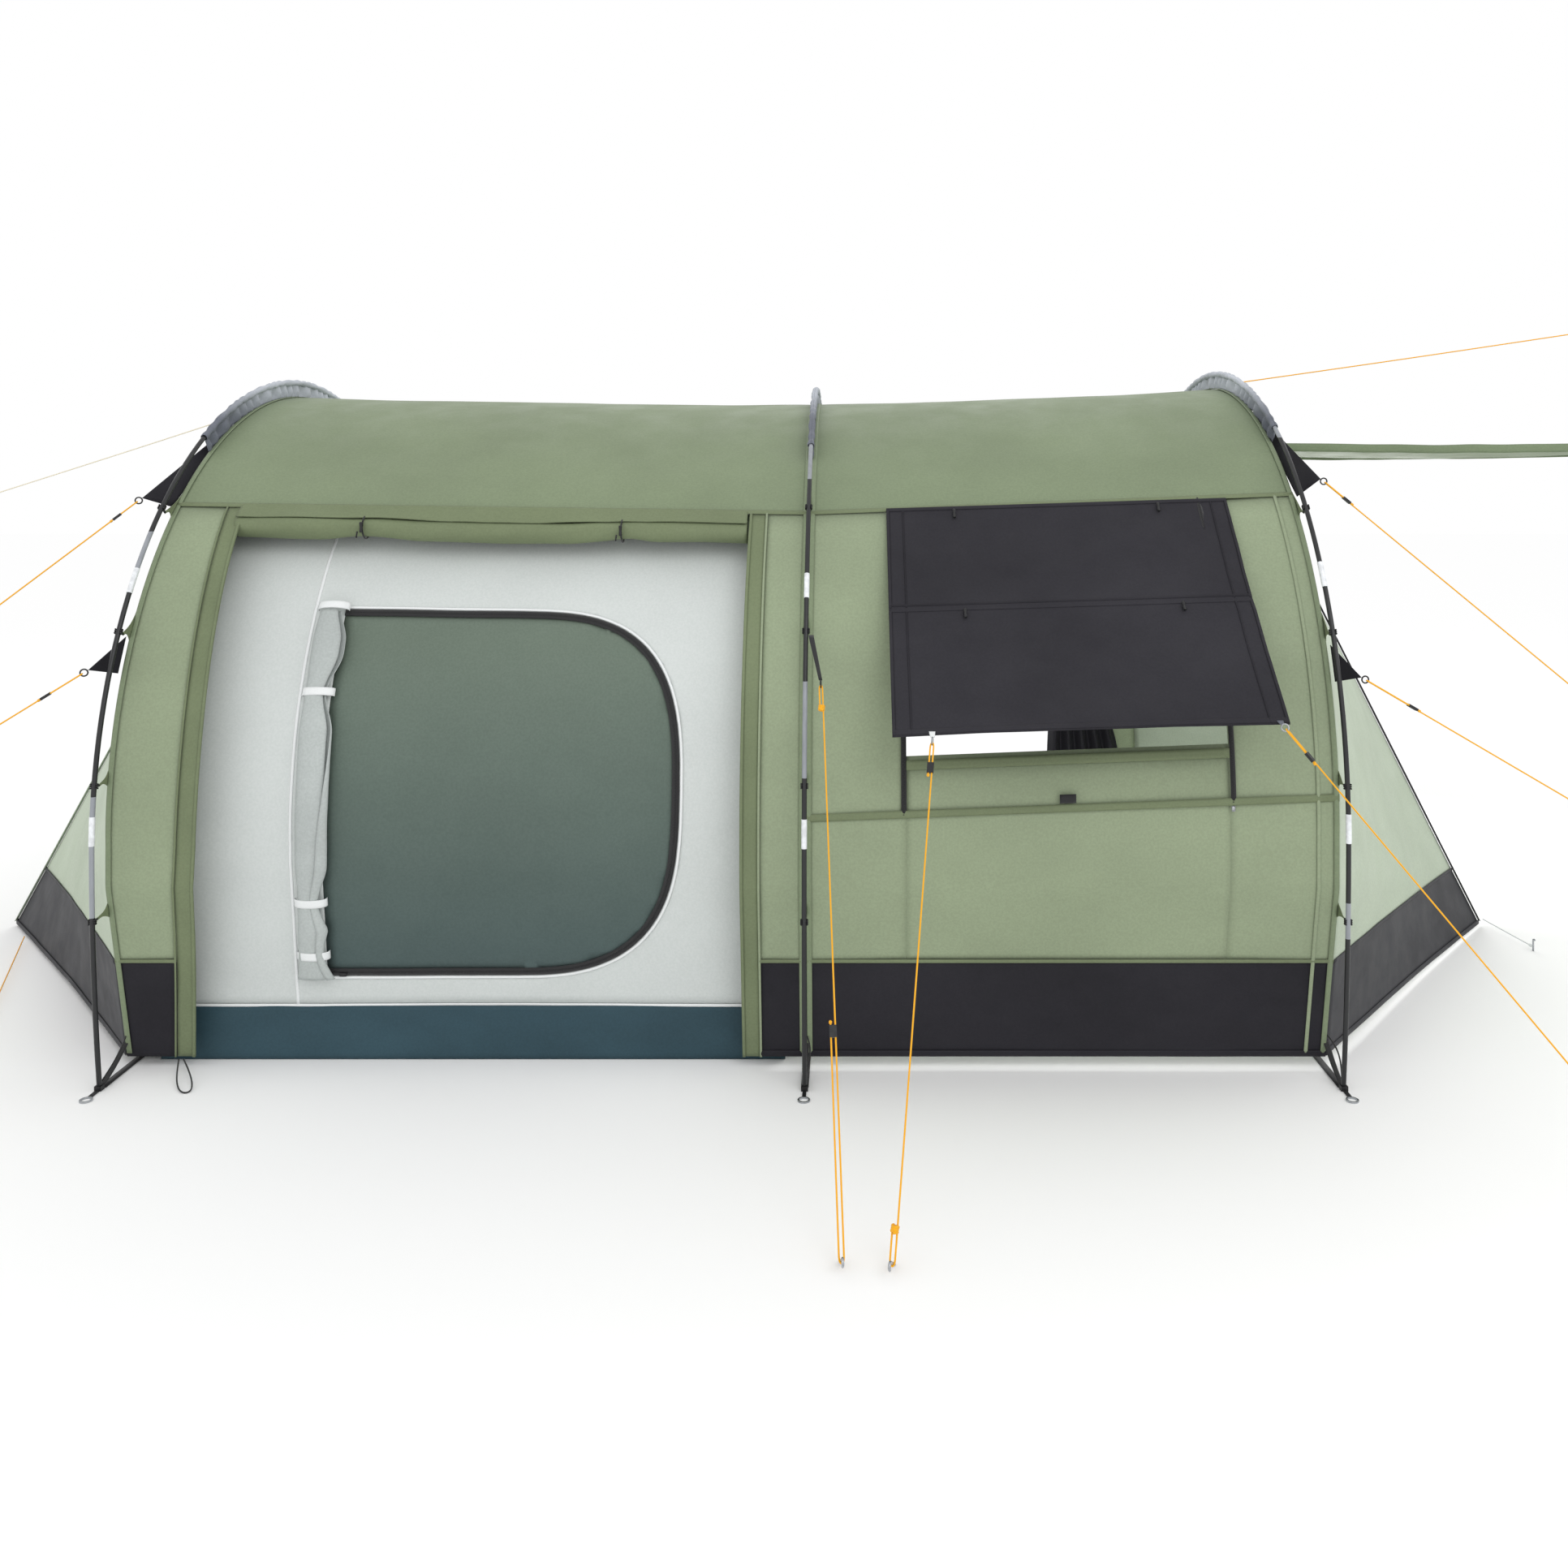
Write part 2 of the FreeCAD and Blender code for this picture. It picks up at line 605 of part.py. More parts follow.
def make_side_door():
    """The near door of the sleeping bay, rolled up under the roof seam, with its two toggles."""
    y, z = ROLL_CENTRE
    start = Vector(DOOR_X[0] + 12, -y, z + rise_at(DOOR_X[0]))
    end = Vector(DOOR_X[1] - 12, -y, z + rise_at(DOOR_X[1]))
    add("side_door_roll", bar(start, end, ROLL_RADIUS))
    for x in (-1284.0, -540.0):
        centre = Vector(x, -(y + ROLL_RADIUS + 7), z + rise_at(x))
        add("toggles", oriented_box(centre, Z, X, (30, 10, 10)))
    curtain_x = FAR_DOOR_X[1] + 5
    outline = fly.side(curtain_x)
    low = on_outline(outline, curtain_x, 1, 330.0)
    high = on_outline(outline, curtain_x, 1, 1150.0)
    for a, b in ((low, (low + high) / 2), ((low + high) / 2, high)):
        add("far_door_curtain", bar(a + Vector(55, -75, 0), b + Vector(55, -75, 0), 38.0))


def flap_point(x, place):
    y, z = place
    return Vector(x, -y, z + rise_at(x))


def make_flap():
    run = unit(Vector(0, -(FLAP_FOLD[0] - FLAP_TOP[0]), FLAP_FOLD[1] - FLAP_TOP[1]))
    lower_run = unit(Vector(0, -(FLAP_EDGE[0] - FLAP_FOLD[0]), FLAP_EDGE[1] - FLAP_FOLD[1]))
    out = Vector(0, run.z, -run.y)
    lower_out = Vector(0, lower_run.z, -lower_run.y)
    x0, x1 = FLAP_X
    fold_gap = FLAP_HINGE_GAP / 2
    upper = (
        flap_point(x0, FLAP_TOP),
        flap_point(x1, FLAP_TOP),
        flap_point(x1, FLAP_FOLD) - run * fold_gap,
        flap_point(x0, FLAP_FOLD) - run * fold_gap,
    )
    add("flap_upper", face_of(*upper).extrude(out * FABRIC))
    lower = (
        flap_point(x0, FLAP_FOLD) + lower_run * fold_gap,
        flap_point(x1, FLAP_FOLD) + lower_run * fold_gap,
        flap_point(x1, FLAP_EDGE),
        flap_point(x0, FLAP_EDGE),
    )
    add("flap_lower", face_of(*lower).extrude(lower_out * FABRIC))
    for x in (420.0, 1010.0):
        top = flap_point(x, FLAP_TOP) + run * 25 + out * (FABRIC + 6.5)
        add("toggles", oriented_box(top, run, X, (26, 10, 10)))
        low = flap_point(x + 10, FLAP_FOLD) + lower_run * 25 + lower_out * (FABRIC + 6.5)
        add("flap_fittings", oriented_box(low, lower_run, X, (26, 10, 10)))
    for name in ("flap_left", "flap_right"):
        anchor, peg, _, _ = GUYLINES[name]
        tip = anchor - unit(peg - anchor) * (RING_WIRE + 0.2)
        edge = flap_point(anchor.x, FLAP_EDGE) - lower_run * 2
        run_out = tip - edge
        across = unit(run_out.cross(Z))
        strap = oriented_box((edge + tip) / 2, unit(run_out), across, (run_out.Length, 10, 2))
        add("flap_fittings", strap.cut(solids["flap_lower"][0]))


# ---- sleeping cabin ----

inner = Arch(
    [(TUB_HALF_WIDTH, TUB_HEIGHT), (TUB_HALF_WIDTH + 12, INNER_DOOR_SILL), (INNER_RADIUS, 560.0)],
    INNER_RADIUS,
    HOOPS["middle"][1] - FLY_GAP - INNER_TOP_GAP,
    [0, INNER_DOOR_ANGLE / 2, INNER_DOOR_ANGLE, INNER_SEAM_ANGLE, 70, 90],
)
INNER_DOOR_HEAD = inner.spring + 2
INNER_SEAM = inner.spring + 3
INNER_TOP = inner.spring + 5


def make_cabin():
    x0, x1 = INNER_X
    door_left, door_right = INNER_DOOR_X
    near = "inner_wall_near"
    add(near, *inner.strips(x0, x1, 0, 1, -1))
    add(near, *inner.strips(x0, door_left, 1, INNER_DOOR_HEAD, -1))
    add(near, *inner.strips(door_right, x1, 1, INNER_DOOR_HEAD, -1))
    add(near, *inner.strips(x0, x1, INNER_DOOR_HEAD, INNER_SEAM, -1))
    add("inner_shell", *inner.strips(x0, x1, INNER_SEAM, INNER_TOP, -1))
    add("inner_shell", *inner.strips(x0, x1, 0, INNER_TOP, 1))
    add("inner_door_mesh", *inner.strips(door_left, door_right, 1, INNER_DOOR_HEAD, -1))
    outline = inner.side(x0)
    ring = [Vector(x0, -y, z) for y, z in outline] + [Vector(x0, y, z) for y, z in outline[-2::-1]]
    add("inner_shell", face_of(*ring).extrude(X * -FABRIC))
    make_partition(x1)
    make_tub(x0, x1)
    make_inner_door_roll(door_left)


def make_partition(x):
    """The cabin's end wall towards the living bay, with its doorway left open."""
    outline = inner.side(x)
    ring = [Vector(x, -y, z) for y, z in outline] + [Vector(x, y, z) for y, z in outline[-2::-1]]
    wall = face_of(*ring).extrude(X * FABRIC)
    half = PARTITION_DOOR_HALF_WIDTH
    top = PARTITION_DOOR_TOP
    for low, high in (
        ((x - 5, -2000, 0), (x + 5, -half, top)),
        ((x - 5, half, 0), (x + 5, 2000, top)),
        ((x - 5, -2000, top), (x + 5, 2000, 2500)),
    ):
        add("inner_shell", wall.common(box_between(low, high)))


def make_tub(x0, x1):
    """The waterproof floor, turned up all round like a shallow tray."""
    floor = TUB_HALF_WIDTH - 5
    add("tub_floor", box_between((x0, -floor, 0), (x1, floor, 2)))
    for side in (-1, 1):
        foot_in, foot_out = side * (floor - FABRIC), side * floor
        head_in, head_out = side * TUB_HALF_WIDTH, side * (TUB_HALF_WIDTH + FABRIC)
        section = face_of(
            Vector(x0, foot_in, 2),
            Vector(x0, foot_out, 2),
            Vector(x0, head_out, TUB_HEIGHT - 0.5),
            Vector(x0, head_in, TUB_HEIGHT - 0.5),
        )
        add("tub_floor", section.extrude(X * (x1 - x0)))
    for x in (x0 + FABRIC + 1, x1 - 2 * FABRIC - 1):
        add("tub_floor", box_between((x, -floor + 20, 2), (x + FABRIC, floor - 20, TUB_HEIGHT - 1)))


def make_inner_door_roll(x):
    """The cabin door, rolled aside along its left edge and held by four tabs."""
    outline = inner.side(x, FABRIC)[1 : INNER_DOOR_HEAD + 1]
    reach = INNER_ROLL_RADIUS + 1
    for (y0, z0), (y1, z1) in zip(outline, outline[1:]):
        out = unit(Vector(0, -(z1 - z0), -(y1 - y0)))
        a, b = Vector(x - 20, -y0, z0) + out * reach, Vector(x - 20, -y1, z1) + out * reach
        shorten = unit(b - a) * 4
        add("inner_door_roll", bar(a + shorten, b - shorten, INNER_ROLL_RADIUS))
    for height in (290.0, 450.0, 900.0, 1150.0):
        point = on_outline(outline, x - 20, -1, height)
        tab = oriented_box(point - Y * (2 * reach + 5), Z, X, (34, 62, 3))
        add("inner_door_tabs", trimmed(tab, "inner_door_roll"))


# ---- guylines ----


class Guyline:
    """A cord from a ring at the tent to a ground peg, doubled back through a runner at one end."""

    def __init__(self, name):
        anchor, peg, self.doubled, self.runner = GUYLINES[name]
        self.name = name
        self.anchor = anchor
        foot = Vector(peg.x, peg.y, PEG_LOOP_HEIGHT)
        self.along = unit(foot - anchor)
        self.side = unit(self.along.cross(Z))
        self.up = self.side.cross(self.along)
        self.ring_turn = RING_WIRE + GUY_RADIUS + CORD_TO_METAL
        self.peg_turn = PEG_RADIUS + GUY_RADIUS + CORD_TO_METAL
        self.ring_bar = anchor + self.along * (2 * RING_RADIUS)
        length = (foot - self.ring_bar).Length
        self.peg = self.ring_bar + self.along * length + self.side * (self.peg_turn - self.ring_turn)

    def returns(self):
        """How far the cord runs back from its ring and from its peg."""
        doubled = self.runner + TAIL_PAST_SLIDER
        return (doubled, KNOT_RETURN) if self.doubled == "top" else (KNOT_RETURN, doubled)

    def cord(self):
        top_return, peg_return = self.returns()
        a, b, ra, rb = self.ring_bar, self.peg, self.ring_turn, self.peg_turn
        along, side = self.along, self.side
        points = [
            a + side * ra + along * top_return,
            a + side * ra,
            a - side * ra,
            b - side * rb,
            b + side * rb,
            b + side * rb - along * peg_return,
        ]
        edges = [
            Part.LineSegment(points[0], points[1]).toShape(),
            Part.Arc(points[1], a - along * ra, points[2]).toShape(),
            Part.LineSegment(points[2], points[3]).toShape(),
            Part.Arc(points[3], b + along * rb, points[4]).toShape(),
            Part.LineSegment(points[4], points[5]).toShape(),
        ]
        wire = Part.Wire(edges)
        solid = swept(wire, GUY_RADIUS, points[0], along * -1)
        expected = math.pi * GUY_RADIUS**2 * wire.Length
        print(
            f"guy_{self.name}: length {wire.Length:.0f}, radii {ra:.1f} and {rb:.1f},",
            f"volume {solid.Volume / expected:.4f} of section times length",
        )
        return solid

    def ring(self):
        centre = self.anchor + self.along * RING_RADIUS
        return Part.makeTorus(RING_RADIUS, RING_WIRE, centre, self.side)

    def slider(self):
        """A block with two holes that both strands run through, and its centre."""
        if self.doubled == "top":
            middle = self.ring_bar + self.along * self.runner
            turn = self.ring_turn
        else:
            middle = self.peg - self.along * self.runner
            turn = self.peg_turn
        block = oriented_box(middle, self.along, self.side, SLIDER_SIZE)
        bore = GUY_RADIUS + SLIDING_CLEARANCE
        for sign in (-1, 1):
            strand = middle + self.side * (sign * turn)
            block = block.cut(bar(strand - self.along * 40, strand + self.along * 40, bore))
        return block

    def knots(self, cord):
        """The knot that closes the single end's loop, and the stop knot on the tail."""
        top_return, peg_return = self.returns()
        ends = (
            (self.ring_bar, 1, top_return, self.ring_turn),
            (self.peg, -1, peg_return, self.peg_turn),
        )
        for centre, sign, reach, turn in ends:
            single = reach == KNOT_RETURN
            along = self.along * sign
            if single:
                start = centre + along * (reach - 8)
                yield bar(start, start + along * 16, KNOT_RADIUS).cut(cord)
            else:
                tail = centre + self.side * turn + along * (reach - 9)
                yield bar(tail, tail + along * 9, 3.6).cut(cord)

    def peg_pin(self):
        low = self.peg - self.up * (PEG_LOOP_HEIGHT / self.up.z + 8)
        high = self.peg + self.up * PEG_ABOVE_LOOP
        r = PEG_HOOK_RADIUS
        edges = [
            Part.LineSegment(low, high).toShape(),
            Part.Arc(high, high + (self.along + self.up) * r, high + self.along * (2 * r)).toShape(),
        ]
        pin = swept(Part.Wire(edges), PEG_RADIUS, low, self.up)
        soil = box_between((low.x - 100, low.y - 100, -100), (low.x + 100, low.y + 100, 0))
        return pin.cut(soil)


def make_guylines():
    for name in GUYLINES:
        guy = Guyline(name)
        cord = guy.cord()
        add(f"guy_{name}", cord)
        add(f"slider_{name}", guy.slider())
        axis = guy.along * (-1 if guy.doubled == "top" else 1)
        print(f"slider_{name}: slides along {axis.x:.6f} {axis.y:.6f} {axis.z:.6f}")
        add("guy_knots", *guy.knots(cord))
        add("guy_pegs", guy.peg_pin())
        if name.startswith("flap"):
            add("flap_fittings", guy.ring())
        else:
            add("guy_rings", guy.ring())


def straight_cord(node, start, end, radius):
    """A taut line with nothing doubled."""
    solid = bar(start, end, radius)
    print(f"{node}: length {(end - start).Length:.0f}, straight")
    add(node, solid)


def make_short_lines():
    """The lines at the apses' points, the end lines from the crown, and the door's tie."""
    hem = Vector(-2735, -185, 24)
    peg = Vector(-2335, -1035, 14)
    straight_cord("guy_apse_left", hem, peg, GUY_RADIUS)
    add_small_peg(peg, unit(peg - hem))
    hem = Vector(APEX_X["right"] + 12, -6, 26)
    peg = Vector(APEX_X["right"] + 62, -250, 14)
    straight_cord("guy_apse_right", hem, peg, GUY_RADIUS)
    add_small_peg(peg, unit(peg - hem))
    for end, tip in (("left", Vector(-3010, 0, 1537)), ("right", Vector(2790, 0, 2140))):
        x = HOOPS[end][0]
        outward = -1 if end == "left" else 1
        crown = Vector(x + outward * (POLE_RADIUS + 4), 0, HOOPS[end][1] - 45)
        straight_cord(f"guy_top_{end}", crown, tip, GUY_RADIUS)
        along = unit(tip - crown)
        loop_centre = tip + along * (RING_RADIUS + RING_WIRE)
        add("guy_knots", Part.makeTorus(RING_RADIUS, RING_WIRE, loop_centre, Y))


def add_small_peg(at, along):
    low = Vector(at.x, at.y, 0) + Vector(along.x, along.y, 0) * (PEG_RADIUS + GUY_RADIUS)
    add("guy_pegs", bar(low, low + Z * 40, PEG_RADIUS).fuse(Part.makeSphere(PEG_RADIUS + 2, low + Z * 40)))


TIE_POINTS = [
    (-1702.0, -1158.0, 24.0),
    (-1640.0, -1312.0, 2.2),
    (-1578.0, -1296.0, 2.2),
    (-1690.0, -1156.0, 24.0),
]
TIE_RADIUS = 2.0


def rounded_cord(node, points, radius):
    """A cord on straight runs joined by tangent arcs as large as the runs allow."""
    points = [Vector(*p) for p in points]
    edges = []
    here = points[0]
    radii = []
    for before, corner, after in zip(points, points[1:], points[2:]):
        back, ahead = before - corner, after - corner
        cut = 0.45 * min(back.Length, ahead.Length)
        half_turn = (math.pi - back.getAngle(ahead)) / 2
        arc_radius = cut / math.tan(half_turn)
        radii.append(round(arc_radius, 1))
        enter = corner + unit(back) * cut
        leave = corner + unit(ahead) * cut
        inward = unit(unit(back) + unit(ahead))
        middle = corner + inward * (arc_radius / math.cos(half_turn) - arc_radius)
        edges.append(Part.LineSegment(here, enter).toShape())
        edges.append(Part.Arc(enter, middle, leave).toShape())
        here = leave
    edges.append(Part.LineSegment(here, points[-1]).toShape())
    wire = Part.Wire(edges)
    length = wire.Length
    solid = swept(wire, radius, points[0], points[1] - points[0])
    print(
        f"{node}: length {length:.0f}, radii {radii},",
        f"volume {solid.Volume / (math.pi * radius**2 * length):.4f} of section times length",
    )
    add(node, solid)


make_hoops()
make_fly()
make_apses()
make_feet()
make_canopy()
make_clips()
make_sleeves()
make_guy_tabs()
make_zips()
make_side_door()
make_flap()
make_cabin()
make_guylines()
make_short_lines()
rounded_cord("door_tie", TIE_POINTS, TIE_RADIUS)

for node, pieces in solids.items():
    for piece in pieces:
        if not piece.isValid() or piece.Volume <= 0:
            print("bad solid in", node, piece.Volume)
    Part.makeCompound(pieces).exportStep(f"parts/{node}.step")
print(len(solids), "nodes,", sum(len(p) for p in solids.values()), "solids")
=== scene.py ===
import json
import math

import bmesh
import bpy
from mathutils import Vector, noise
from mathutils.geometry import delaunay_2d_cdt
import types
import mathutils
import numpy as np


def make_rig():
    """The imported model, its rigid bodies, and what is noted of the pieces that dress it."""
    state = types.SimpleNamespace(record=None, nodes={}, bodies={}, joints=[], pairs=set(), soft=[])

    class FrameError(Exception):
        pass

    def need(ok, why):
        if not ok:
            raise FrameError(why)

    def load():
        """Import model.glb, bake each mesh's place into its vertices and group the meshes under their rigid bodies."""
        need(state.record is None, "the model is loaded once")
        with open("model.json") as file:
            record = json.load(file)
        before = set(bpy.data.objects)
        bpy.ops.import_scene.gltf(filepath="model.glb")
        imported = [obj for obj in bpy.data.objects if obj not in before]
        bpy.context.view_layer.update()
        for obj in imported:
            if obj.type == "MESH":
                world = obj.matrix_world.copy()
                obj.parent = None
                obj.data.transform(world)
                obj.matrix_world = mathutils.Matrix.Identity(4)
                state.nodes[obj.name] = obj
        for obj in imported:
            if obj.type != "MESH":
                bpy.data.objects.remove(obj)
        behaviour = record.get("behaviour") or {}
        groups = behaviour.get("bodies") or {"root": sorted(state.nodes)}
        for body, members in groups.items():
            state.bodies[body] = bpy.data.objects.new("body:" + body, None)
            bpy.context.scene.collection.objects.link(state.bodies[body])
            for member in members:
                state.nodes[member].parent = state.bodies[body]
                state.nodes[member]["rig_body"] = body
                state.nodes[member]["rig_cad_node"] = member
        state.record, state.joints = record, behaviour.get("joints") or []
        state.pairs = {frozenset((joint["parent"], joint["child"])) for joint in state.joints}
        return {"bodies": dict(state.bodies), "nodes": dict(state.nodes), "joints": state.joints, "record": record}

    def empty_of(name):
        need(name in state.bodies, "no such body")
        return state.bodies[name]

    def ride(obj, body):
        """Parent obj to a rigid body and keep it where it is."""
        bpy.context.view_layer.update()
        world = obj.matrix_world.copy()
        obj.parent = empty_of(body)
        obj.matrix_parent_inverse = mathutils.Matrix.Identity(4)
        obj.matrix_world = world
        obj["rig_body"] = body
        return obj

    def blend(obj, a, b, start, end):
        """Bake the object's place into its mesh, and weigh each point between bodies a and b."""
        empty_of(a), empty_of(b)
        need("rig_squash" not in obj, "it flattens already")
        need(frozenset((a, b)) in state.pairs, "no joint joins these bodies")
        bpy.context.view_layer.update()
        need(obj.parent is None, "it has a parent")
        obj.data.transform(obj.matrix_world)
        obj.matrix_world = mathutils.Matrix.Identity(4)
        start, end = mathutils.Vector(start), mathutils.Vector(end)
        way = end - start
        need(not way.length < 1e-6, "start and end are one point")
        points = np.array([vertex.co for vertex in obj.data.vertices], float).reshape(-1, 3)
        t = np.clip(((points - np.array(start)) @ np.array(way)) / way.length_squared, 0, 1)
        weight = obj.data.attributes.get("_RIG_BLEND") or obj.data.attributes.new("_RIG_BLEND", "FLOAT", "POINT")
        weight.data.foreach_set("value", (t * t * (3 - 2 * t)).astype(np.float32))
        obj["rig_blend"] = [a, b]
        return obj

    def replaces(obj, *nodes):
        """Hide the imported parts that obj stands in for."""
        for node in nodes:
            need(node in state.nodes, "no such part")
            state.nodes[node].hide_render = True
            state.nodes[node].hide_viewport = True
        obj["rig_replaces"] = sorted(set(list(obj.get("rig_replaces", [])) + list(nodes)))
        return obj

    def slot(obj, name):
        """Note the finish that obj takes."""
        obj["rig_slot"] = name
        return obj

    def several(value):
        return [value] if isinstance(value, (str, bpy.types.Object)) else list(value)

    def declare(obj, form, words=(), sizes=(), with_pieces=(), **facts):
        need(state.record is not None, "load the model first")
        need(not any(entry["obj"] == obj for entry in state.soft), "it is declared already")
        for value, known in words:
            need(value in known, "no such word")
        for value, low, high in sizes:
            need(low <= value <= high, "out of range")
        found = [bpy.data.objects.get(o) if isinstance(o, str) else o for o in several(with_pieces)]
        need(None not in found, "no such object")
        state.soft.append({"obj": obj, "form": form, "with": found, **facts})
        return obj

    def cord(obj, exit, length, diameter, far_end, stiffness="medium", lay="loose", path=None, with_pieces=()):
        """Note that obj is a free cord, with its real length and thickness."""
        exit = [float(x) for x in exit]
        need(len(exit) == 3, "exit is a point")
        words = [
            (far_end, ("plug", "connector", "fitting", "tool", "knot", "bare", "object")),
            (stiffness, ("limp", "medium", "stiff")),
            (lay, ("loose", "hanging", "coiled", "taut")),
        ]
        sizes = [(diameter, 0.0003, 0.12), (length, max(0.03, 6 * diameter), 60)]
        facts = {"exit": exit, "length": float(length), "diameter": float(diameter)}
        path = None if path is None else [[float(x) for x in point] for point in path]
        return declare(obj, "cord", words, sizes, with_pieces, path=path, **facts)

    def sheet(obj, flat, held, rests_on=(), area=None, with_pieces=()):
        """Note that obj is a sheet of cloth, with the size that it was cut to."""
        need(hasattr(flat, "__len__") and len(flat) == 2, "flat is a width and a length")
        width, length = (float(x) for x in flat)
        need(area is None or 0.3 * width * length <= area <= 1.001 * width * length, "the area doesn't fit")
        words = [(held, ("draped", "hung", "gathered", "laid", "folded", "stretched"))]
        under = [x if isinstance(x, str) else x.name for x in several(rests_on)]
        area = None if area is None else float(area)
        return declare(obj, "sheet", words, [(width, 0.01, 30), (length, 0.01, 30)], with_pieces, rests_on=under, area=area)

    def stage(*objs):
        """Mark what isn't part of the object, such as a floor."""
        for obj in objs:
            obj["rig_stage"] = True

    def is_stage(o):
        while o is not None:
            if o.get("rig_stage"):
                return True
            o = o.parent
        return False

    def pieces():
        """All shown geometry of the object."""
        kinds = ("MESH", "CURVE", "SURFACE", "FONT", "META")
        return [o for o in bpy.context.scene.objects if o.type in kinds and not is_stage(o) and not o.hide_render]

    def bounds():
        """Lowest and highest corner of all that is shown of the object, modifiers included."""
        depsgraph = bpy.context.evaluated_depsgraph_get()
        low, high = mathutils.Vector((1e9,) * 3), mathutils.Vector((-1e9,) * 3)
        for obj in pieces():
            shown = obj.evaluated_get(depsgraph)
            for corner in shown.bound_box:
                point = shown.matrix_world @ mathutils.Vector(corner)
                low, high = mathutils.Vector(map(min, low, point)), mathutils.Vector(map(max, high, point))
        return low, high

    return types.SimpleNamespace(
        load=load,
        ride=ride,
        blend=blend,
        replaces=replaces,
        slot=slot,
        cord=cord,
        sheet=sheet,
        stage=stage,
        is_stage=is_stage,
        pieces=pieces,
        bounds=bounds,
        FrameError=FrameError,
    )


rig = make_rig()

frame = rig.load()
CAD_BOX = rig.bounds()
NODES = frame["nodes"]

UP = Vector((0, 0, 1))
ALONG = Vector((1, 0, 0))

# ---------------------------------------------------------------- camera

camera = bpy.data.objects.new("camera", bpy.data.cameras.new("camera"))
bpy.context.scene.collection.objects.link(camera)
camera.location = (0.12, -4.71, 1.576)
camera.rotation_euler = (math.radians(90), 0, 0)
camera.data.sensor_width = 36
camera.data.lens = 30.06
camera.data.shift_x = -0.0424
camera.data.shift_y = -0.189
camera.data.clip_end = 100
bpy.context.scene.camera = camera

# ---------------------------------------------------------------- tent dimensions, as in the CAD

LEFT, RIGHT = -1.845, 1.410
HOOP_TOPS = {LEFT: 1.955, 0.0: 1.930, RIGHT: 1.985}
HOOP_RADIUS = 1.320
HOOP_FOOT = 1.285
POLE_RADIUS = 0.0065
FLY_RADIUS = 1.255
FLY_TOP = 1.870
FLY_SPRING = FLY_TOP - FLY_RADIUS
FLY_LOW = ((0.030, 1.150), (0.290, 1.205), (0.520, 1.255), (FLY_SPRING, 1.255))
SEAM_ANGLE = math.radians(44.85)
BAND_TOP = 0.308
APEX = {LEFT: (-2.880, 0.008), RIGHT: (2.380, 0.008)}
WING_REACH = 0.5
DOOR_X = (-1.660, -0.173)
EDGING = 0.050
WINDOW_X = (0.268, 1.124)
WINDOW_SILL = math.radians(10.9)
PIPING_HEIGHT = 0.703
FAR_DOOR_X = (0.250, 1.050)
FAR_DOOR_ANGLE = math.radians(33.6)
INNER_X = (-1.780, -0.060)
INNER_RADIUS = 1.160
INNER_TOP = 1.760
INNER_SPRING = INNER_TOP - INNER_RADIUS
INNER_LOW = ((0.150, 1.105), (0.248, 1.117), (0.560, 1.160), (INNER_SPRING, 1.160))
ROLL_CENTRE = (-0.915, 1.445)
FLAP_X = (0.224, 1.212)
FLAP_TOP = (-0.900, 1.506)
FLAP_FOLD = (-1.153, 1.236)
FLAP_EDGE = (-1.460, 0.950)
CANOPY = ((1.414, 0.701, 1.712), (1.516, 0.003, 1.722), (3.400, -0.100, 1.729), (3.400, 1.140, 1.729))
GUYLINES = {
    "left_upper": ((-1.908, -0.965, 1.545), (-3.480, -1.840, 0), "top", 0.062),
    "left_lower": ((-1.890, -1.262, 1.094), (-3.420, -1.890, 0), "top", 0.095),
    "right_upper": ((1.470, -0.955, 1.600), (3.340, -1.080, 0), "top", 0.075),
    "right_lower": ((1.468, -1.262, 1.075), (3.290, -1.130, 0), "top", 0.140),
    "middle": ((0.042, -1.290, 1.071), (0.103, -2.070, 0), "bottom", 0.440),
    "flap_left": ((0.323, -1.474, 0.958), (0.205, -2.080, 0), "top", 0.060),
    "flap_right": ((1.188, -1.474, 0.990), (1.920, -1.950, 0), "top", 0.080),
}

# ---------------------------------------------------------------- materials


def srgb(r, g, b):
    """An 8-bit display colour as linear values."""
    out = []
    for c in (r, g, b):
        c /= 255
        out.append(c / 12.92 if c <= 0.04045 else ((c + 0.055) / 1.055) ** 2.4)
    return (*out, 1.0)


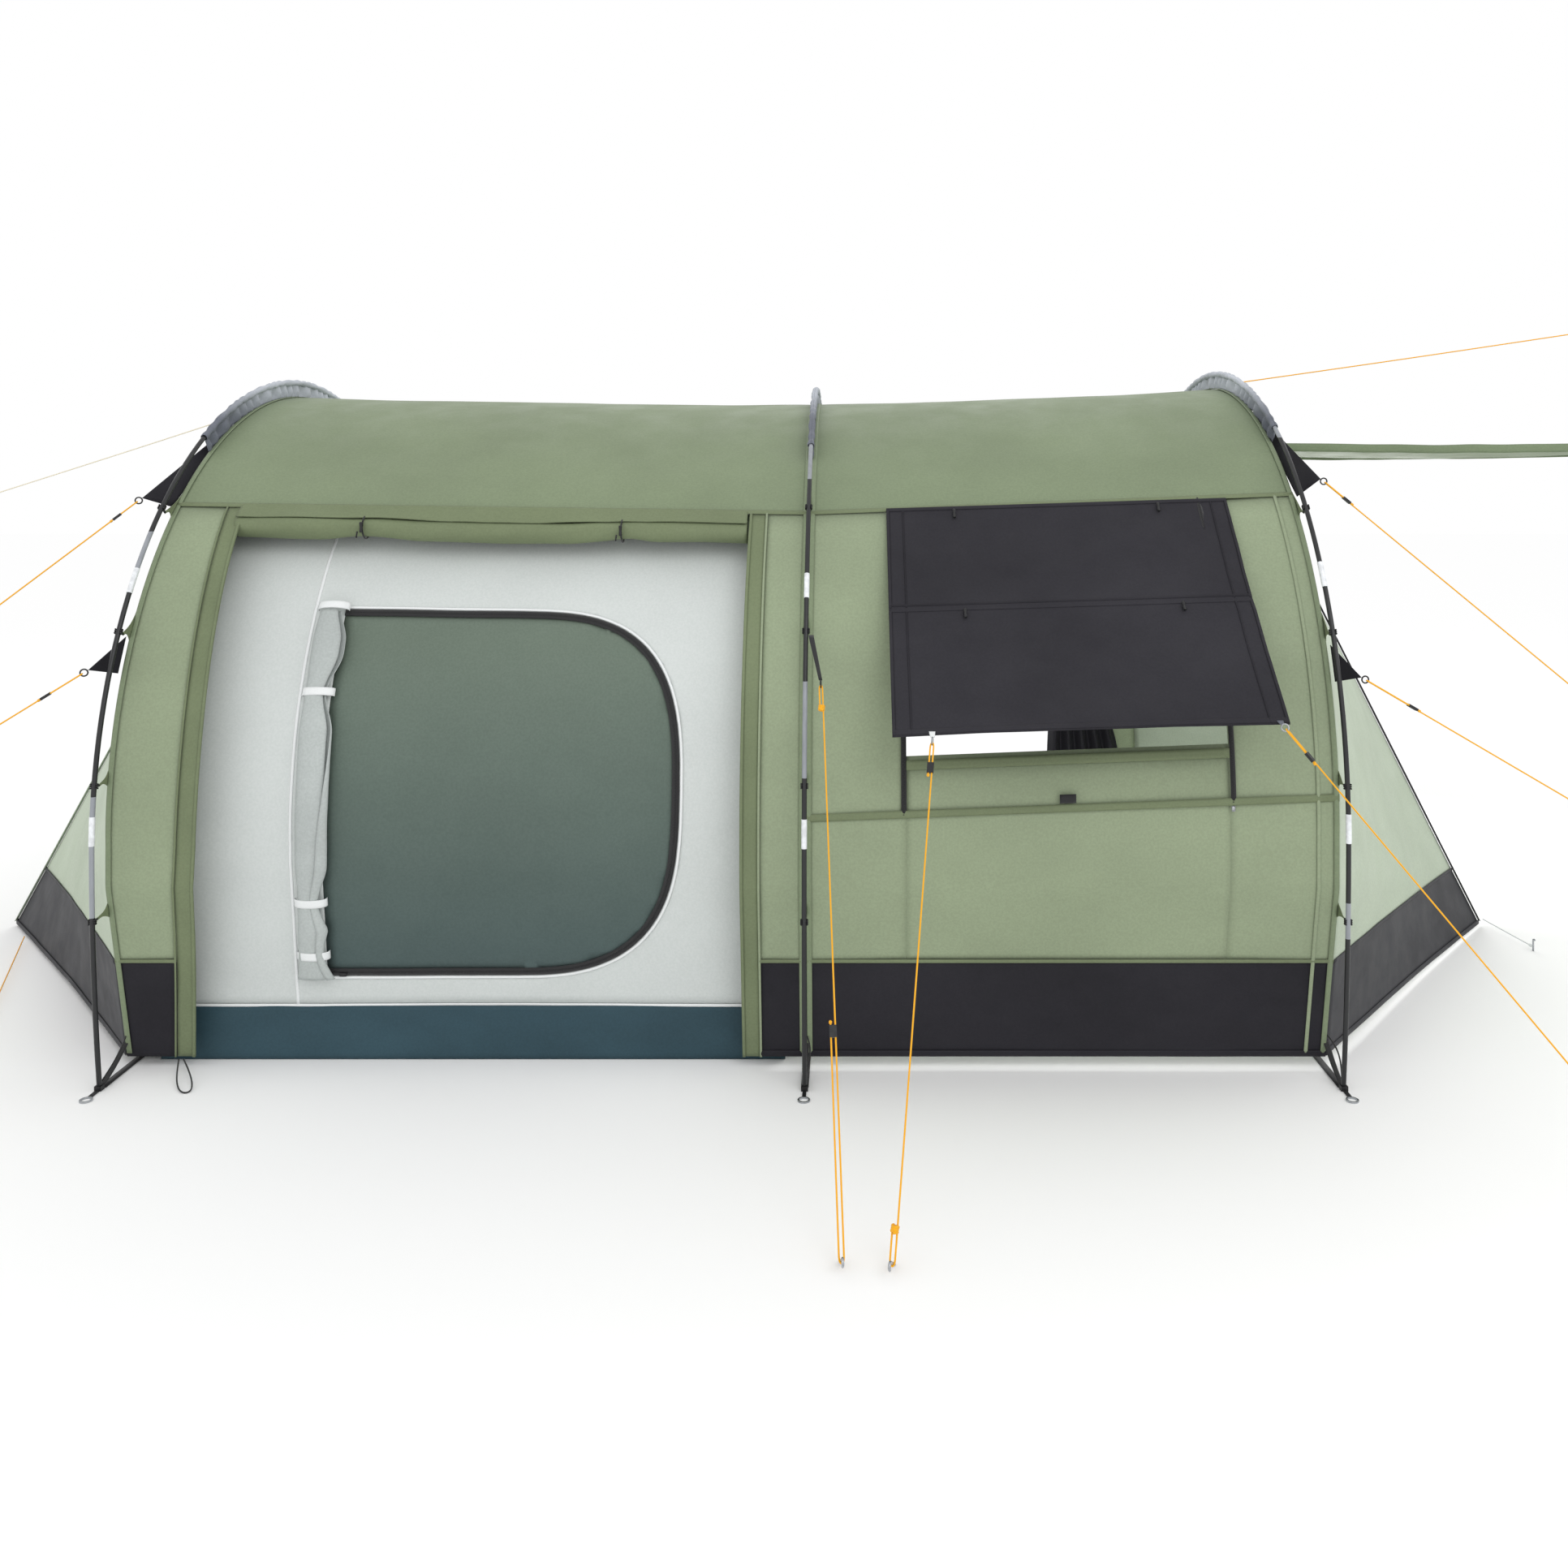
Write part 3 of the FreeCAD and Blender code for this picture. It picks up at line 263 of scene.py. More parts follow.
class Nodes:
    """A material with a principled shader and short ways to add what feeds it."""

    def __init__(self, name):
        self.material = bpy.data.materials.new(name)
        self.material.use_nodes = True
        self.tree = self.material.node_tree
        self.shader = next(n for n in self.tree.nodes if n.type == "BSDF_PRINCIPLED")
        self.place = self.add("ShaderNodeTexCoord").outputs["Object"]

    def add(self, kind, **settings):
        node = self.tree.nodes.new(kind)
        for key, value in settings.items():
            if key.startswith("in_"):
                key = key[3:]
                node.inputs[int(key) if key.isdigit() else key.replace("_", " ")].default_value = value
            else:
                setattr(node, key, value)
        return node

    def link(self, source, target):
        self.tree.links.new(source, target)

    def noise(self, scale, detail=3.0, stretch=(1, 1, 1), rough=0.55):
        mapping = self.add("ShaderNodeMapping")
        mapping.inputs["Scale"].default_value = stretch
        self.link(self.place, mapping.inputs["Vector"])
        node = self.add("ShaderNodeTexNoise", in_Scale=scale, in_Detail=detail, in_Roughness=rough)
        self.link(mapping.outputs["Vector"], node.inputs["Vector"])
        return node.outputs["Fac"]

    def wave(self, direction, scale):
        node = self.add("ShaderNodeTexWave", bands_direction=direction, in_Scale=scale)
        self.link(self.place, node.inputs["Vector"])
        return node.outputs["Fac"]

    def ramp(self, factor, low, high, start=0.35, end=0.65):
        node = self.add("ShaderNodeValToRGB")
        node.color_ramp.elements[0].position = start
        node.color_ramp.elements[1].position = end
        node.color_ramp.elements[0].color = low
        node.color_ramp.elements[1].color = high
        self.link(factor, node.inputs["Fac"])
        return node.outputs["Color"]

    def mix(self, factor, a, b, blend="MIX"):
        node = self.add("ShaderNodeMix", data_type="RGBA", blend_type=blend)
        for value, socket in ((factor, node.inputs["Factor"]), (a, node.inputs["A"]), (b, node.inputs["B"])):
            if hasattr(value, "is_linked"):
                self.link(value, socket)
            else:
                socket.default_value = value
        return node.outputs["Result"]

    def bump(self, *layers):
        """Stacked bumps, each a height with its strength and depth in metres."""
        normal = None
        for height, strength, depth in layers:
            node = self.add("ShaderNodeBump", in_Strength=strength, in_Distance=depth)
            self.link(height, node.inputs["Height"])
            if normal is not None:
                self.link(normal, node.inputs["Normal"])
            normal = node.outputs["Normal"]
        self.link(normal, self.shader.inputs["Normal"])

    def height_fade(self, low, high):
        """From 0 at one height to 1 at another."""
        split = self.add("ShaderNodeSeparateXYZ")
        self.link(self.place, split.inputs["Vector"])
        node = self.add("ShaderNodeMapRange")
        node.inputs["From Min"].default_value = low
        node.inputs["From Max"].default_value = high
        self.link(split.outputs["Z"], node.inputs["Value"])
        return node.outputs["Result"]


def shade(colour, gain):
    return (*(min(1.0, c * gain) for c in colour[:3]), 1.0)


def cloth(name, colour, spread=0.10, roughness=0.62, weave=650, crease=0.004, sheen=0.04, top=None, heights=(0, 1), gloss=0.25):
    """Coated tent cloth: mottled colour, fine plain weave and soft creases."""
    m = Nodes(name)
    mottle = m.noise(2.2, 4.0, (1, 1, 1.6))
    fleck = m.noise(160, 2.0)
    base = m.ramp(mottle, shade(colour, 1 - spread), shade(colour, 1 + spread))
    # An optional second colour faded in by height; on the door mesh this fade is painted light and painted shade, not a
    # change in the cloth.
    if top is not None:
        upper = m.ramp(mottle, shade(top, 1 - spread), shade(top, 1 + spread))
        base = m.mix(m.height_fade(*heights), base, upper)
    base = m.mix(0.05, base, m.ramp(fleck, (0, 0, 0, 1), (1, 1, 1, 1)), "OVERLAY")
    m.link(base, m.shader.inputs["Base Color"])
    m.bump(
        (m.noise(5.0, 3.0, (1, 1, 0.5)), 0.35, crease),
        (m.noise(28, 3.0), 0.14, 0.0012),
        (m.wave("X", weave), 0.05, 0.0001),
        (m.wave("Z", weave), 0.05, 0.0001),
    )
    rough = m.ramp(m.noise(9, 3.0), (roughness - 0.07,) * 3 + (1,), (roughness + 0.07,) * 3 + (1,))
    m.link(rough, m.shader.inputs["Roughness"])
    m.shader.inputs["Sheen Weight"].default_value = sheen
    m.shader.inputs["Sheen Roughness"].default_value = 0.4
    m.shader.inputs["Specular IOR Level"].default_value = gloss
    return m.material


def solid(name, colour, roughness=0.45, metallic=0.0, grain=300, depth=0.0003, spread=0.12):
    """Moulded plastic, painted tube or plated wire, with worn-in variation."""
    m = Nodes(name)
    base = m.ramp(m.noise(grain / 4, 3.0), shade(colour, 1 - spread), shade(colour, 1 + spread))
    m.link(base, m.shader.inputs["Base Color"])
    rough = m.ramp(m.noise(grain / 2, 4.0), (roughness - 0.08,) * 3 + (1,), (roughness + 0.1,) * 3 + (1,))
    m.link(rough, m.shader.inputs["Roughness"])
    m.shader.inputs["Metallic"].default_value = metallic
    m.bump((m.noise(grain, 3.0), 0.25, depth))
    return m.material


def braid(name, colour, pitch=420):
    """Braided cord or woven tape."""
    m = Nodes(name)
    node = m.add("ShaderNodeTexWave", bands_direction="DIAGONAL", in_Scale=pitch, in_Distortion=1.5)
    m.link(m.place, node.inputs["Vector"])
    # The colour follows the braid's height: painted shade darkens the grooves between strands, and painted light
    # brightens the raised strands.
    base = m.ramp(node.outputs["Fac"], shade(colour, 0.88), shade(colour, 1.08), 0.2, 0.8)
    m.link(base, m.shader.inputs["Base Color"])
    m.bump((node.outputs["Fac"], 0.5, 0.0005), (m.noise(900, 2.0), 0.2, 0.0002))
    m.shader.inputs["Roughness"].default_value = 0.7
    m.shader.inputs["Sheen Weight"].default_value = 0.2
    return m.material


FLY = cloth("fly_cloth", srgb(143, 155, 127), spread=0.05)
FLY_ROOF = cloth("fly_roof_cloth", srgb(124, 137, 109), spread=0.06, roughness=0.55)
OLIVE = cloth("olive_cloth", srgb(113, 124, 94), spread=0.07)
BAND = cloth("band_cloth", srgb(40, 39, 44), spread=0.14, roughness=0.7, sheen=0.02, gloss=0.15)
FLAP = cloth("flap_cloth", srgb(46, 45, 50), spread=0.10, roughness=0.7, sheen=0.02, gloss=0.15)
APSE = cloth("apse_cloth", srgb(176, 188, 168), spread=0.05)
APSE_BAND = cloth("apse_band_cloth", srgb(62, 62, 65), spread=0.10, sheen=0.02, gloss=0.15)
CANOPY_CLOTH = cloth("canopy_cloth", srgb(120, 134, 106), spread=0.06)
SLEEVE = cloth("sleeve_cloth", srgb(104, 108, 118), spread=0.12, crease=0.002, top=srgb(184, 189, 197), heights=(1.79, 1.92))
INNER = cloth("inner_cloth", srgb(204, 209, 207), spread=0.025, roughness=0.75, crease=0.002)
INNER_ROLL = cloth("inner_roll_cloth", srgb(176, 182, 180), spread=0.06, crease=0.003)
TUB = cloth("tub_cloth", srgb(52, 76, 86), spread=0.12, roughness=0.55, weave=320, sheen=0.02, gloss=0.2)
# The door mesh fades from its darker colour at 0.3 m to a lighter one at 1.15 m: painted light for the bright cabin
# seen through the upper mesh, and painted shade lower down.
MESH = cloth("mesh_cloth", srgb(76, 91, 90), spread=0.04, roughness=0.8, weave=420, sheen=0.05,
             top=srgb(104, 117, 105), heights=(0.3, 1.15))
PIPING = braid("piping_tape", srgb(235, 238, 238), 260)
TAPE = braid("black_tape", srgb(24, 24, 26), 300)
GUY = braid("guy_cord", srgb(250, 178, 0))
PALE_GUY = braid("pale_guy_cord", srgb(238, 228, 205))
ELASTIC = braid("elastic", srgb(20, 20, 21), 600)


def sectioned_pole(name, spans):
    """Pole fibre whose sections are grey between some heights."""
    m = Nodes(name)
    split = m.add("ShaderNodeSeparateXYZ")
    m.link(m.place, split.inputs["Vector"])
    share = m.add("ShaderNodeMapRange")
    share.inputs["From Max"].default_value = 2.0
    m.link(split.outputs["Z"], share.inputs["Value"])
    bands = m.add("ShaderNodeValToRGB")
    bands.color_ramp.interpolation = "CONSTANT"
    dark, pale = srgb(27, 28, 30), srgb(142, 146, 152)
    bands.color_ramp.elements[0].color = dark
    bands.color_ramp.elements[1].position = 1.0
    bands.color_ramp.elements[1].color = dark
    for low, high in spans:
        bands.color_ramp.elements.new(low / 2).color = pale
        bands.color_ramp.elements.new(high / 2).color = dark
    m.link(share.outputs["Result"], bands.inputs["Fac"])
    streaks = m.ramp(m.noise(60, 3.0, (1, 1, 0.1)), (0.42, 0.42, 0.42, 1), (0.58, 0.58, 0.58, 1))
    m.link(m.mix(0.6, bands.outputs["Color"], streaks, "OVERLAY"), m.shader.inputs["Base Color"])
    m.link(m.ramp(m.noise(110, 3.0), (0.28,) * 3 + (1,), (0.42,) * 3 + (1,)), m.shader.inputs["Roughness"])
    m.bump((m.noise(260, 3.0), 0.2, 0.0003))
    return m.material


FERRULE = solid("ferrule_grey", srgb(226, 229, 232), 0.38, 0.15)
PLASTIC = solid("black_plastic", srgb(22, 22, 24), 0.5)
STEEL = solid("plated_steel", srgb(175, 178, 182), 0.3, 0.9)
CANOPY_TUBE = solid("canopy_tube", srgb(120, 123, 128), 0.35, 0.8)

# ---------------------------------------------------------------- mesh helpers


def new_object(name, verts, faces, material, smooth=True):
    mesh = bpy.data.meshes.new(name)
    mesh.from_pydata([tuple(v) for v in verts], [], faces)
    mesh.validate()
    obj = bpy.data.objects.new(name, mesh)
    bpy.context.scene.collection.objects.link(obj)
    mesh.materials.append(material)
    if smooth:
        mesh.polygons.foreach_set("use_smooth", [True] * len(mesh.polygons))
    return obj


def normals_of(verts, faces):
    out = [Vector((0, 0, 0)) for _ in verts]
    for face in faces:
        p = [verts[i] for i in face]
        n = (p[1] - p[0]).cross(p[2] - p[0])
        if len(face) == 4:
            n = (p[2] - p[0]).cross(p[3] - p[1])
        for i in face:
            out[i] += n
    return [n.normalized() if n.length > 1e-12 else Vector((0, 0, 1)) for n in out]


def sheet_mesh(name, verts, faces, material, thickness=0.0012):
    """A closed thin sheet around an open surface, with its edges turned."""
    verts = [Vector(v) for v in verts]
    normals = normals_of(verts, faces)
    count = len(verts)
    top = [v + n * (thickness / 2) for v, n in zip(verts, normals)]
    bottom = [v - n * (thickness / 2) for v, n in zip(verts, normals)]
    all_faces = [tuple(f) for f in faces] + [tuple(i + count for i in reversed(f)) for f in faces]
    edges = {}
    for face in faces:
        for a, b in zip(face, (*face[1:], face[0])):
            edges[(a, b)] = edges.get((a, b), 0) + 1
    for a, b in edges:
        if (b, a) not in edges:
            all_faces.append((b, a, a + count, b + count))
    return new_object(name, top + bottom, all_faces, material)


def grid(name, f, nu, nv, material, thickness=0.0012, closed=False):
    """A sheet over u and v from 0 to 1."""
    verts = [f(i / nu, j / nv) for j in range(nv + 1) for i in range(nu + (0 if closed else 1))]
    row = nu if closed else nu + 1
    faces = []
    for j in range(nv):
        for i in range(nu):
            k = (i + 1) % row
            faces.append((j * row + i, j * row + k, (j + 1) * row + k, (j + 1) * row + i))
    return sheet_mesh(name, verts, faces, material, thickness)


def join(name, *objects):
    """One object out of several, keeping their materials."""
    bm = bmesh.new()
    materials = []
    for obj in objects:
        before = len(bm.faces)
        bm.from_mesh(obj.data)
        bm.faces.ensure_lookup_table()
        material = obj.data.materials[0]
        if material not in materials:
            materials.append(material)
        slot = materials.index(material)
        for face in bm.faces[before:]:
            face.material_index = slot
    for obj in objects:
        bpy.data.objects.remove(obj)
    mesh = bpy.data.meshes.new(name)
    bm.to_mesh(mesh)
    bm.free()
    for material in materials:
        mesh.materials.append(material)
    out = bpy.data.objects.new(name, mesh)
    bpy.context.scene.collection.objects.link(out)
    return out


def rod(name, points, radius, material, sides=10, closed=False, caps=True):
    """A round rod through points; radius may be a function of the share of its length."""
    points = [Vector(p) for p in points]
    verts, faces = [], []
    count = len(points)
    reference = None
    for i, p in enumerate(points):
        ahead = points[(i + 1) % count] if closed else points[min(i + 1, count - 1)]
        behind = points[i - 1] if closed or i else points[0]
        tangent = (ahead - behind).normalized()
        if reference is None:
            reference = tangent.orthogonal().normalized()
        reference = (reference - tangent * reference.dot(tangent)).normalized()
        other = tangent.cross(reference)
        r = radius(i / (count - 1)) if callable(radius) else radius
        for k in range(sides):
            a = 2 * math.pi * k / sides
            verts.append(p + reference * (r * math.cos(a)) + other * (r * math.sin(a)))
    for i in range(count if closed else count - 1):
        for k in range(sides):
            a, b = i * sides + k, i * sides + (k + 1) % sides
            c, d = (a + sides) % (count * sides), (b + sides) % (count * sides)
            faces.append((a, b, d, c))
    if caps and not closed:
        faces.append(tuple(reversed(range(sides))))
        faces.append(tuple(range((count - 1) * sides, count * sides)))
    return new_object(name, verts, faces, material)


def polished(node, material, width=0.0008, segments=2):
    """A CAD fitting with its edges rounded and its flat faces cleaned."""
    bm = bmesh.new()
    bm.from_mesh(NODES[node].data)
    bmesh.ops.remove_doubles(bm, verts=bm.verts, dist=1e-6)
    bmesh.ops.dissolve_limit(bm, angle_limit=0.02, verts=bm.verts, edges=bm.edges)
    sharp = [e for e in bm.edges if len(e.link_faces) == 2 and e.calc_face_angle(0) > 0.7]
    bmesh.ops.bevel(bm, geom=sharp, offset=width, segments=segments, affect="EDGES", clamp_overlap=True)
    mesh = bpy.data.meshes.new(node + "_rounded")
    bm.to_mesh(mesh)
    bm.free()
    mesh.materials.append(material)
    obj = bpy.data.objects.new(node + "_rounded", mesh)
    bpy.context.scene.collection.objects.link(obj)
    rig.replaces(obj, node)
    return obj


def dress(node, material):
    """Gives a CAD node its material."""
    mesh = NODES[node].data
    mesh.materials.clear()
    mesh.materials.append(material)
    return NODES[node]


def mix_points(a, b, t):
    return Vector(a) * (1 - t) + Vector(b) * t


def smooth(t):
    t = max(0.0, min(1.0, t))
    return t * t * (3 - 2 * t)


# ---------------------------------------------------------------- guylines


def line_frame(name):
    """The directions of a guyline and the places where it turns round its ring and its peg."""
    anchor, peg, doubled, runner = GUYLINES[name]
    anchor, foot = Vector(anchor), Vector((peg[0], peg[1], 0.018))
    along = (foot - anchor).normalized()
    side = along.cross(UP).normalized()
    ring_bar = anchor + along * 0.018
    far = ring_bar + along * (foot - ring_bar).length + side * 0.001
    returns = (runner + 0.023, 0.060) if doubled == "top" else (0.060, runner + 0.023)
    return along, side, ring_bar, far, returns


def guy_route(name):
    along, side, near, far, (top_return, peg_return) = line_frame(name)
    ring, peg, straight = 0.0042, 0.0052, 0.024
    return [
        near + side * ring + along * top_return,
        near + side * ring + along * straight,
        near + side * ring - along * ring,
        near - side * ring - along * ring,
        near - side * ring + along * straight,
        far - side * peg - along * straight,
        far - side * peg + along * peg,
        far + side * peg + along * peg,
        far + side * peg - along * straight,
        far + side * peg - along * peg_return,
    ]


def cord_curve(name, points, radius, material):
    data = bpy.data.curves.new(name, "CURVE")
    data.dimensions = "3D"
    spline = data.splines.new("NURBS")
    spline.points.add(len(points) - 1)
    for target, p in zip(spline.points, points):
        target.co = (*p, 1)
    spline.order_u = 3
    spline.use_endpoint_u = True
    spline.resolution_u = 16
    data.bevel_depth = radius
    data.bevel_resolution = 4
    data.use_fill_caps = True
    obj = bpy.data.objects.new(name, data)
    bpy.context.scene.collection.objects.link(obj)
    data.materials.append(material)
    return obj


def centreline(curve):
    """The points that a curve's own line runs through."""
    depth, curve.data.bevel_depth = curve.data.bevel_depth, 0
    bpy.context.view_layer.update()
    mesh = bpy.data.meshes.new_from_object(curve.evaluated_get(bpy.context.evaluated_depsgraph_get()))
    curve.data.bevel_depth = depth
    points = [v.co.copy() for v in mesh.vertices]
    bpy.data.meshes.remove(mesh)
    return points


def length_of(points):
    return sum((b - a).length for a, b in zip(points, points[1:]))


def knot(name, centre, direction, radius, material):
    """A lumpy wound knot, as one closed rod coiled on itself."""
    direction = direction.normalized()
    a = direction.orthogonal().normalized()
    b = direction.cross(a)
    points = []
    turns, steps = 3, 42
    for i in range(steps + 1):
        t = i / steps
        angle = 2 * math.pi * turns * t
        reach = radius * (0.62 - 0.08 * math.cos(angle * 0.7))
        points.append(
            centre + direction * ((t - 0.5) * radius * 1.5) + (a * math.cos(angle) + b * math.sin(angle)) * reach
        )
    return rod(name, points, radius * 0.42, material, 8)


def peg_hook(name, line):
    """A bent wire peg, cut off at the ground."""
    along, side, _, far, _ = line_frame(line)
    up = side.cross(along)
    low = far - up * (far.z / up.z)
    high = far + up * 0.030
    points = [low, mix_points(low, far, 0.5), far, mix_points(far, high, 0.6)]
    for i in range(9):
        a = math.pi * i / 8
        points.append(high + along * (0.007 * (1 - math.cos(a))) + up * (0.007 * math.sin(a)))
    return rod(name, points, 0.003, STEEL, 12)


def make_guyline(name):
    along, side, near, far, (top_return, peg_return) = line_frame(name)
    curve = cord_curve("guyline_" + name, guy_route(name), 0.002, GUY)
    path = centreline(curve)
    doubled = GUYLINES[name][2]
    single_knot = far - along * 0.060 if doubled == "top" else near + along * 0.060
    tail = near + side * 0.0042 + along * (top_return - 0.004)
    if doubled == "bottom":
        tail = far + side * 0.0052 - along * (peg_return - 0.004)
    loop_knot = knot("loop_knot_" + name, single_knot, along, 0.0088, GUY)
    tail_knot = knot("tail_knot_" + name, tail, along, 0.0036, GUY)
    peg = peg_hook("peg_" + name, name)
    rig.replaces(loop_knot, "guy_knots")
    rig.replaces(tail_knot, "guy_knots")
    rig.replaces(peg, "guy_pegs")
    flap_line = name.startswith("flap")
    if flap_line:
        evaluated = curve.evaluated_get(bpy.context.evaluated_depsgraph_get())
        mesh = bpy.data.meshes.new_from_object(evaluated)
        bpy.data.objects.remove(curve)
        curve = bpy.data.objects.new("guyline_" + name, mesh)
        bpy.context.scene.collection.objects.link(curve)
        start, end = near + along * 0.14, far - along * 0.10
        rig.blend(curve, "flap", "tent", start, end)
        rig.blend(loop_knot, "flap", "tent", start, end)
        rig.blend(tail_knot, "flap", "tent", start, end)
    else:
        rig.ride(curve, "tent")
        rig.ride(loop_knot, "tent")
        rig.ride(tail_knot, "tent")
    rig.ride(peg, "tent")
    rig.replaces(curve, "guy_" + name)
    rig.slot(curve, "guy_cord")
    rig.cord(
        curve,
        exit=path[0],
        length=length_of(path),
        diameter=0.004,
        far_end="knot",
        stiffness="limp",
        lay="taut",
        path=path if flap_line else None,
        with_pieces=[loop_knot, tail_knot, peg],
    )


def straight_line(name, node, start, end, material, pieces):
    start, end = Vector(start), Vector(end)
    run = end - start
    dip = UP * (-0.0015 * run.length)
    points = [start, mix_points(start, end, 0.34) + dip, mix_points(start, end, 0.66) + dip, end]
    curve = cord_curve(name, points, 0.002, material)
    path = centreline(curve)
    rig.ride(curve, "tent")
    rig.replaces(curve, node)
    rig.cord(
        curve,
        exit=start,
        length=length_of(path),
        diameter=0.004,
        far_end="knot",
        stiffness="limp",
        lay="taut",
        with_pieces=pieces,
    )


def end_loop(name, centre, radius, normal, material):
    normal = Vector(normal).normalized()
    a = normal.orthogonal().normalized()
    b = normal.cross(a)
    ring = [centre + (a * math.cos(2 * math.pi * i / 24) + b * math.sin(2 * math.pi * i / 24)) * radius for i in range(24)]
    return rod(name, ring, 0.002, material, 8, closed=True)


def make_short_lines():
    for side, start, end in (
        ("left", (-2.735, -0.185, 0.024), (-2.335, -1.035, 0.014)),
        ("right", (2.392, -0.006, 0.026), (2.442, -0.250, 0.014)),
    ):
        start, end = Vector(start), Vector(end)
        run = (end - start).normalized()
        flat = Vector((run.x, run.y, 0))
        foot = Vector((end.x, end.y, 0)) + flat * 0.005
        points = [foot, foot + UP * 0.018, foot + UP * 0.034]
        points += [foot + UP * (0.036 + 0.004 * math.sin(a / 4 * math.pi)) + flat * (0.004 - 0.004 * math.cos(a / 4 * math.pi)) for a in range(1, 5)]
        peg = rod("apse_peg_" + side, points, 0.003, STEEL, 12)
        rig.ride(peg, "tent")
        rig.replaces(peg, "guy_pegs")
        wrap = knot("apse_knot_" + side, end - run * 0.008, run, 0.005, GUY if side == "left" else PIPING)
        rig.ride(wrap, "tent")
        straight_line("apse_line_" + side, "guy_apse_" + side, start, end, GUY if side == "left" else PIPING, [peg, wrap])
    for side, x, outward, tip in (
        ("left", LEFT, -1, (-3.010, 0, 1.537)),
        ("right", RIGHT, 1, (2.790, 0, 2.140)),
    ):
        start = Vector((x + outward * 0.0105, 0, HOOP_TOPS[x] - 0.045))
        tip = Vector(tip)
        along = (tip - start).normalized()
        loop = end_loop("crown_loop_" + side, tip + along * 0.011, 0.009, (0, 1, 0), PALE_GUY)
        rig.ride(loop, "tent")
        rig.replaces(loop, "guy_knots")
        tie = knot("crown_knot_" + side, tip - along * 0.010, along, 0.005, PALE_GUY)
        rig.ride(tie, "tent")
        straight_line("crown_line_" + side, "guy_top_" + side, start, tip, PALE_GUY if side == "left" else GUY, [loop, tie])
    points = [(-1.702, -1.158, 0.024), (-1.640, -1.312, 0.0022), (-1.578, -1.296, 0.0022), (-1.690, -1.156, 0.024)]
    tie = cord_curve("door_tie_loop", [Vector(p) for p in points], 0.002, ELASTIC)
    path = centreline(tie)
    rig.ride(tie, "tent")
    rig.replaces(tie, "door_tie")
    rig.cord(tie, exit=points[0], length=length_of(path), diameter=0.004, far_end="bare", stiffness="limp", lay="loose")


for line in GUYLINES:
    make_guyline(line)
make_short_lines()

# ---------------------------------------------------------------- fly


def rise(x):
    end = LEFT if x < 0 else RIGHT
    return (HOOP_TOPS[end] - HOOP_TOPS[0.0]) * x / end


def low_outline(table, z):
    for (z0, y0), (z1, y1) in zip(table, table[1:]):
        if z <= z1:
            return y0 + (y1 - y0) * (z - z0) / (z1 - z0)
    return table[-1][1]


def arch(x, q, radius, spring, low, out=0.0):
    """Cross-section of a tunnel: q runs 0 to 1 up the near wall, 1 to 3 over the roof, 3 to 4 down."""
    side = -1 if q <= 2 else 1
    p = q if q <= 2 else 4 - q
    lift = rise(x)
    if p < 1:
        z0 = low[0][0]
        z = z0 + (spring - z0) * p
        y = low_outline(low, z)
        lift *= smooth((z - low[2][0]) / (spring - low[2][0]))
        return Vector((x, side * (y + out), z + lift))
    angle = (p - 1) * math.pi / 2
    reach = radius + out
    return Vector((x, side * reach * math.cos(angle), spring + lift + reach * math.sin(angle)))


def fly_at(x, q, out=0.0):
    return arch(x, q, FLY_RADIUS + 0.0008, FLY_SPRING, FLY_LOW, out)


def inner_at(x, q, out=0.0):
    return arch(x, q, INNER_RADIUS + 0.0008, INNER_SPRING, INNER_LOW, out)


def q_of(z, spring=FLY_SPRING, low=FLY_LOW, radius=FLY_RADIUS):
    """Where the near side of the cross-section reaches a height at the middle hoop."""
    if z < spring:
        return (z - low[0][0]) / (spring - low[0][0])
    return 1 + math.asin((z - spring) / radius) / (math.pi / 2)


SEAM_Q = 1 + SEAM_ANGLE / (math.pi / 2)
SILL_Q = 1 + WINDOW_SILL / (math.pi / 2)
BAND_Q = q_of(BAND_TOP)
FAR_HEAD_Q = 4 - (1 + FAR_DOOR_ANGLE / (math.pi / 2))


def crumple(x, s, amount, seed=0.0):
    """Soft, mostly horizontal undulation of stretched cloth."""
    broad = noise.noise(Vector((x * 1.4 + seed, s * 2.6, seed)))
    fine = noise.noise(Vector((x * 5.0 + seed, s * 7.0, seed + 7)))
    return amount * (broad + 0.35 * fine)


def hoop_ease(x):
    """0 at a hoop and 1 well away from it."""
    near = min(abs(x - LEFT), abs(x), abs(x - RIGHT))
    return smooth(near / 0.35)


def left_door_edge(q):
    """The left edge of the side door, which the cloth's tension bows inward."""
    z = fly_at(DOOR_X[0], q).z
    share = max(0.0, min(1.0, (z - 0.03) / 1.47))
    return DOOR_X[0] + 0.045 * math.sin(math.pi * share) + 0.02 * share


def left_binding_edge(q):
    return left_door_edge(q) - EDGING


def fly_sheet(name, x0, x1, q0, q1, material, amount=0.004, seed=1.0, sag=0.006, step=0.022):
    """Fly cloth between two edges, each a distance along the tent or a function of the height."""
    start = x0 if callable(x0) else lambda q: x0
    end = x1 if callable(x1) else lambda q: x1
    nu = max(3, round((end(q0) - start(q0)) / step))
    reach = sum(0.585 if 0 < q < 1 or 3 < q < 4 else 1.97 for q in (0.5, 1.5, 2.5, 3.5) if q0 < q < q1)
    span = abs(q1 - q0) * (reach / max(1, round(q1 - q0)) if reach else 1.2)
    nv = max(4, round(span / step))

    def place(u, v):
        q = q0 + (q1 - q0) * v
        x = start(q) + (end(q) - start(q)) * u
        ease = hoop_ease(x)
        out = crumple(x, q * 1.3, amount, seed) * (0.25 + 0.75 * ease) - sag * ease
        return fly_at(x, q, out)

    return grid(name, place, nu, nv, material)


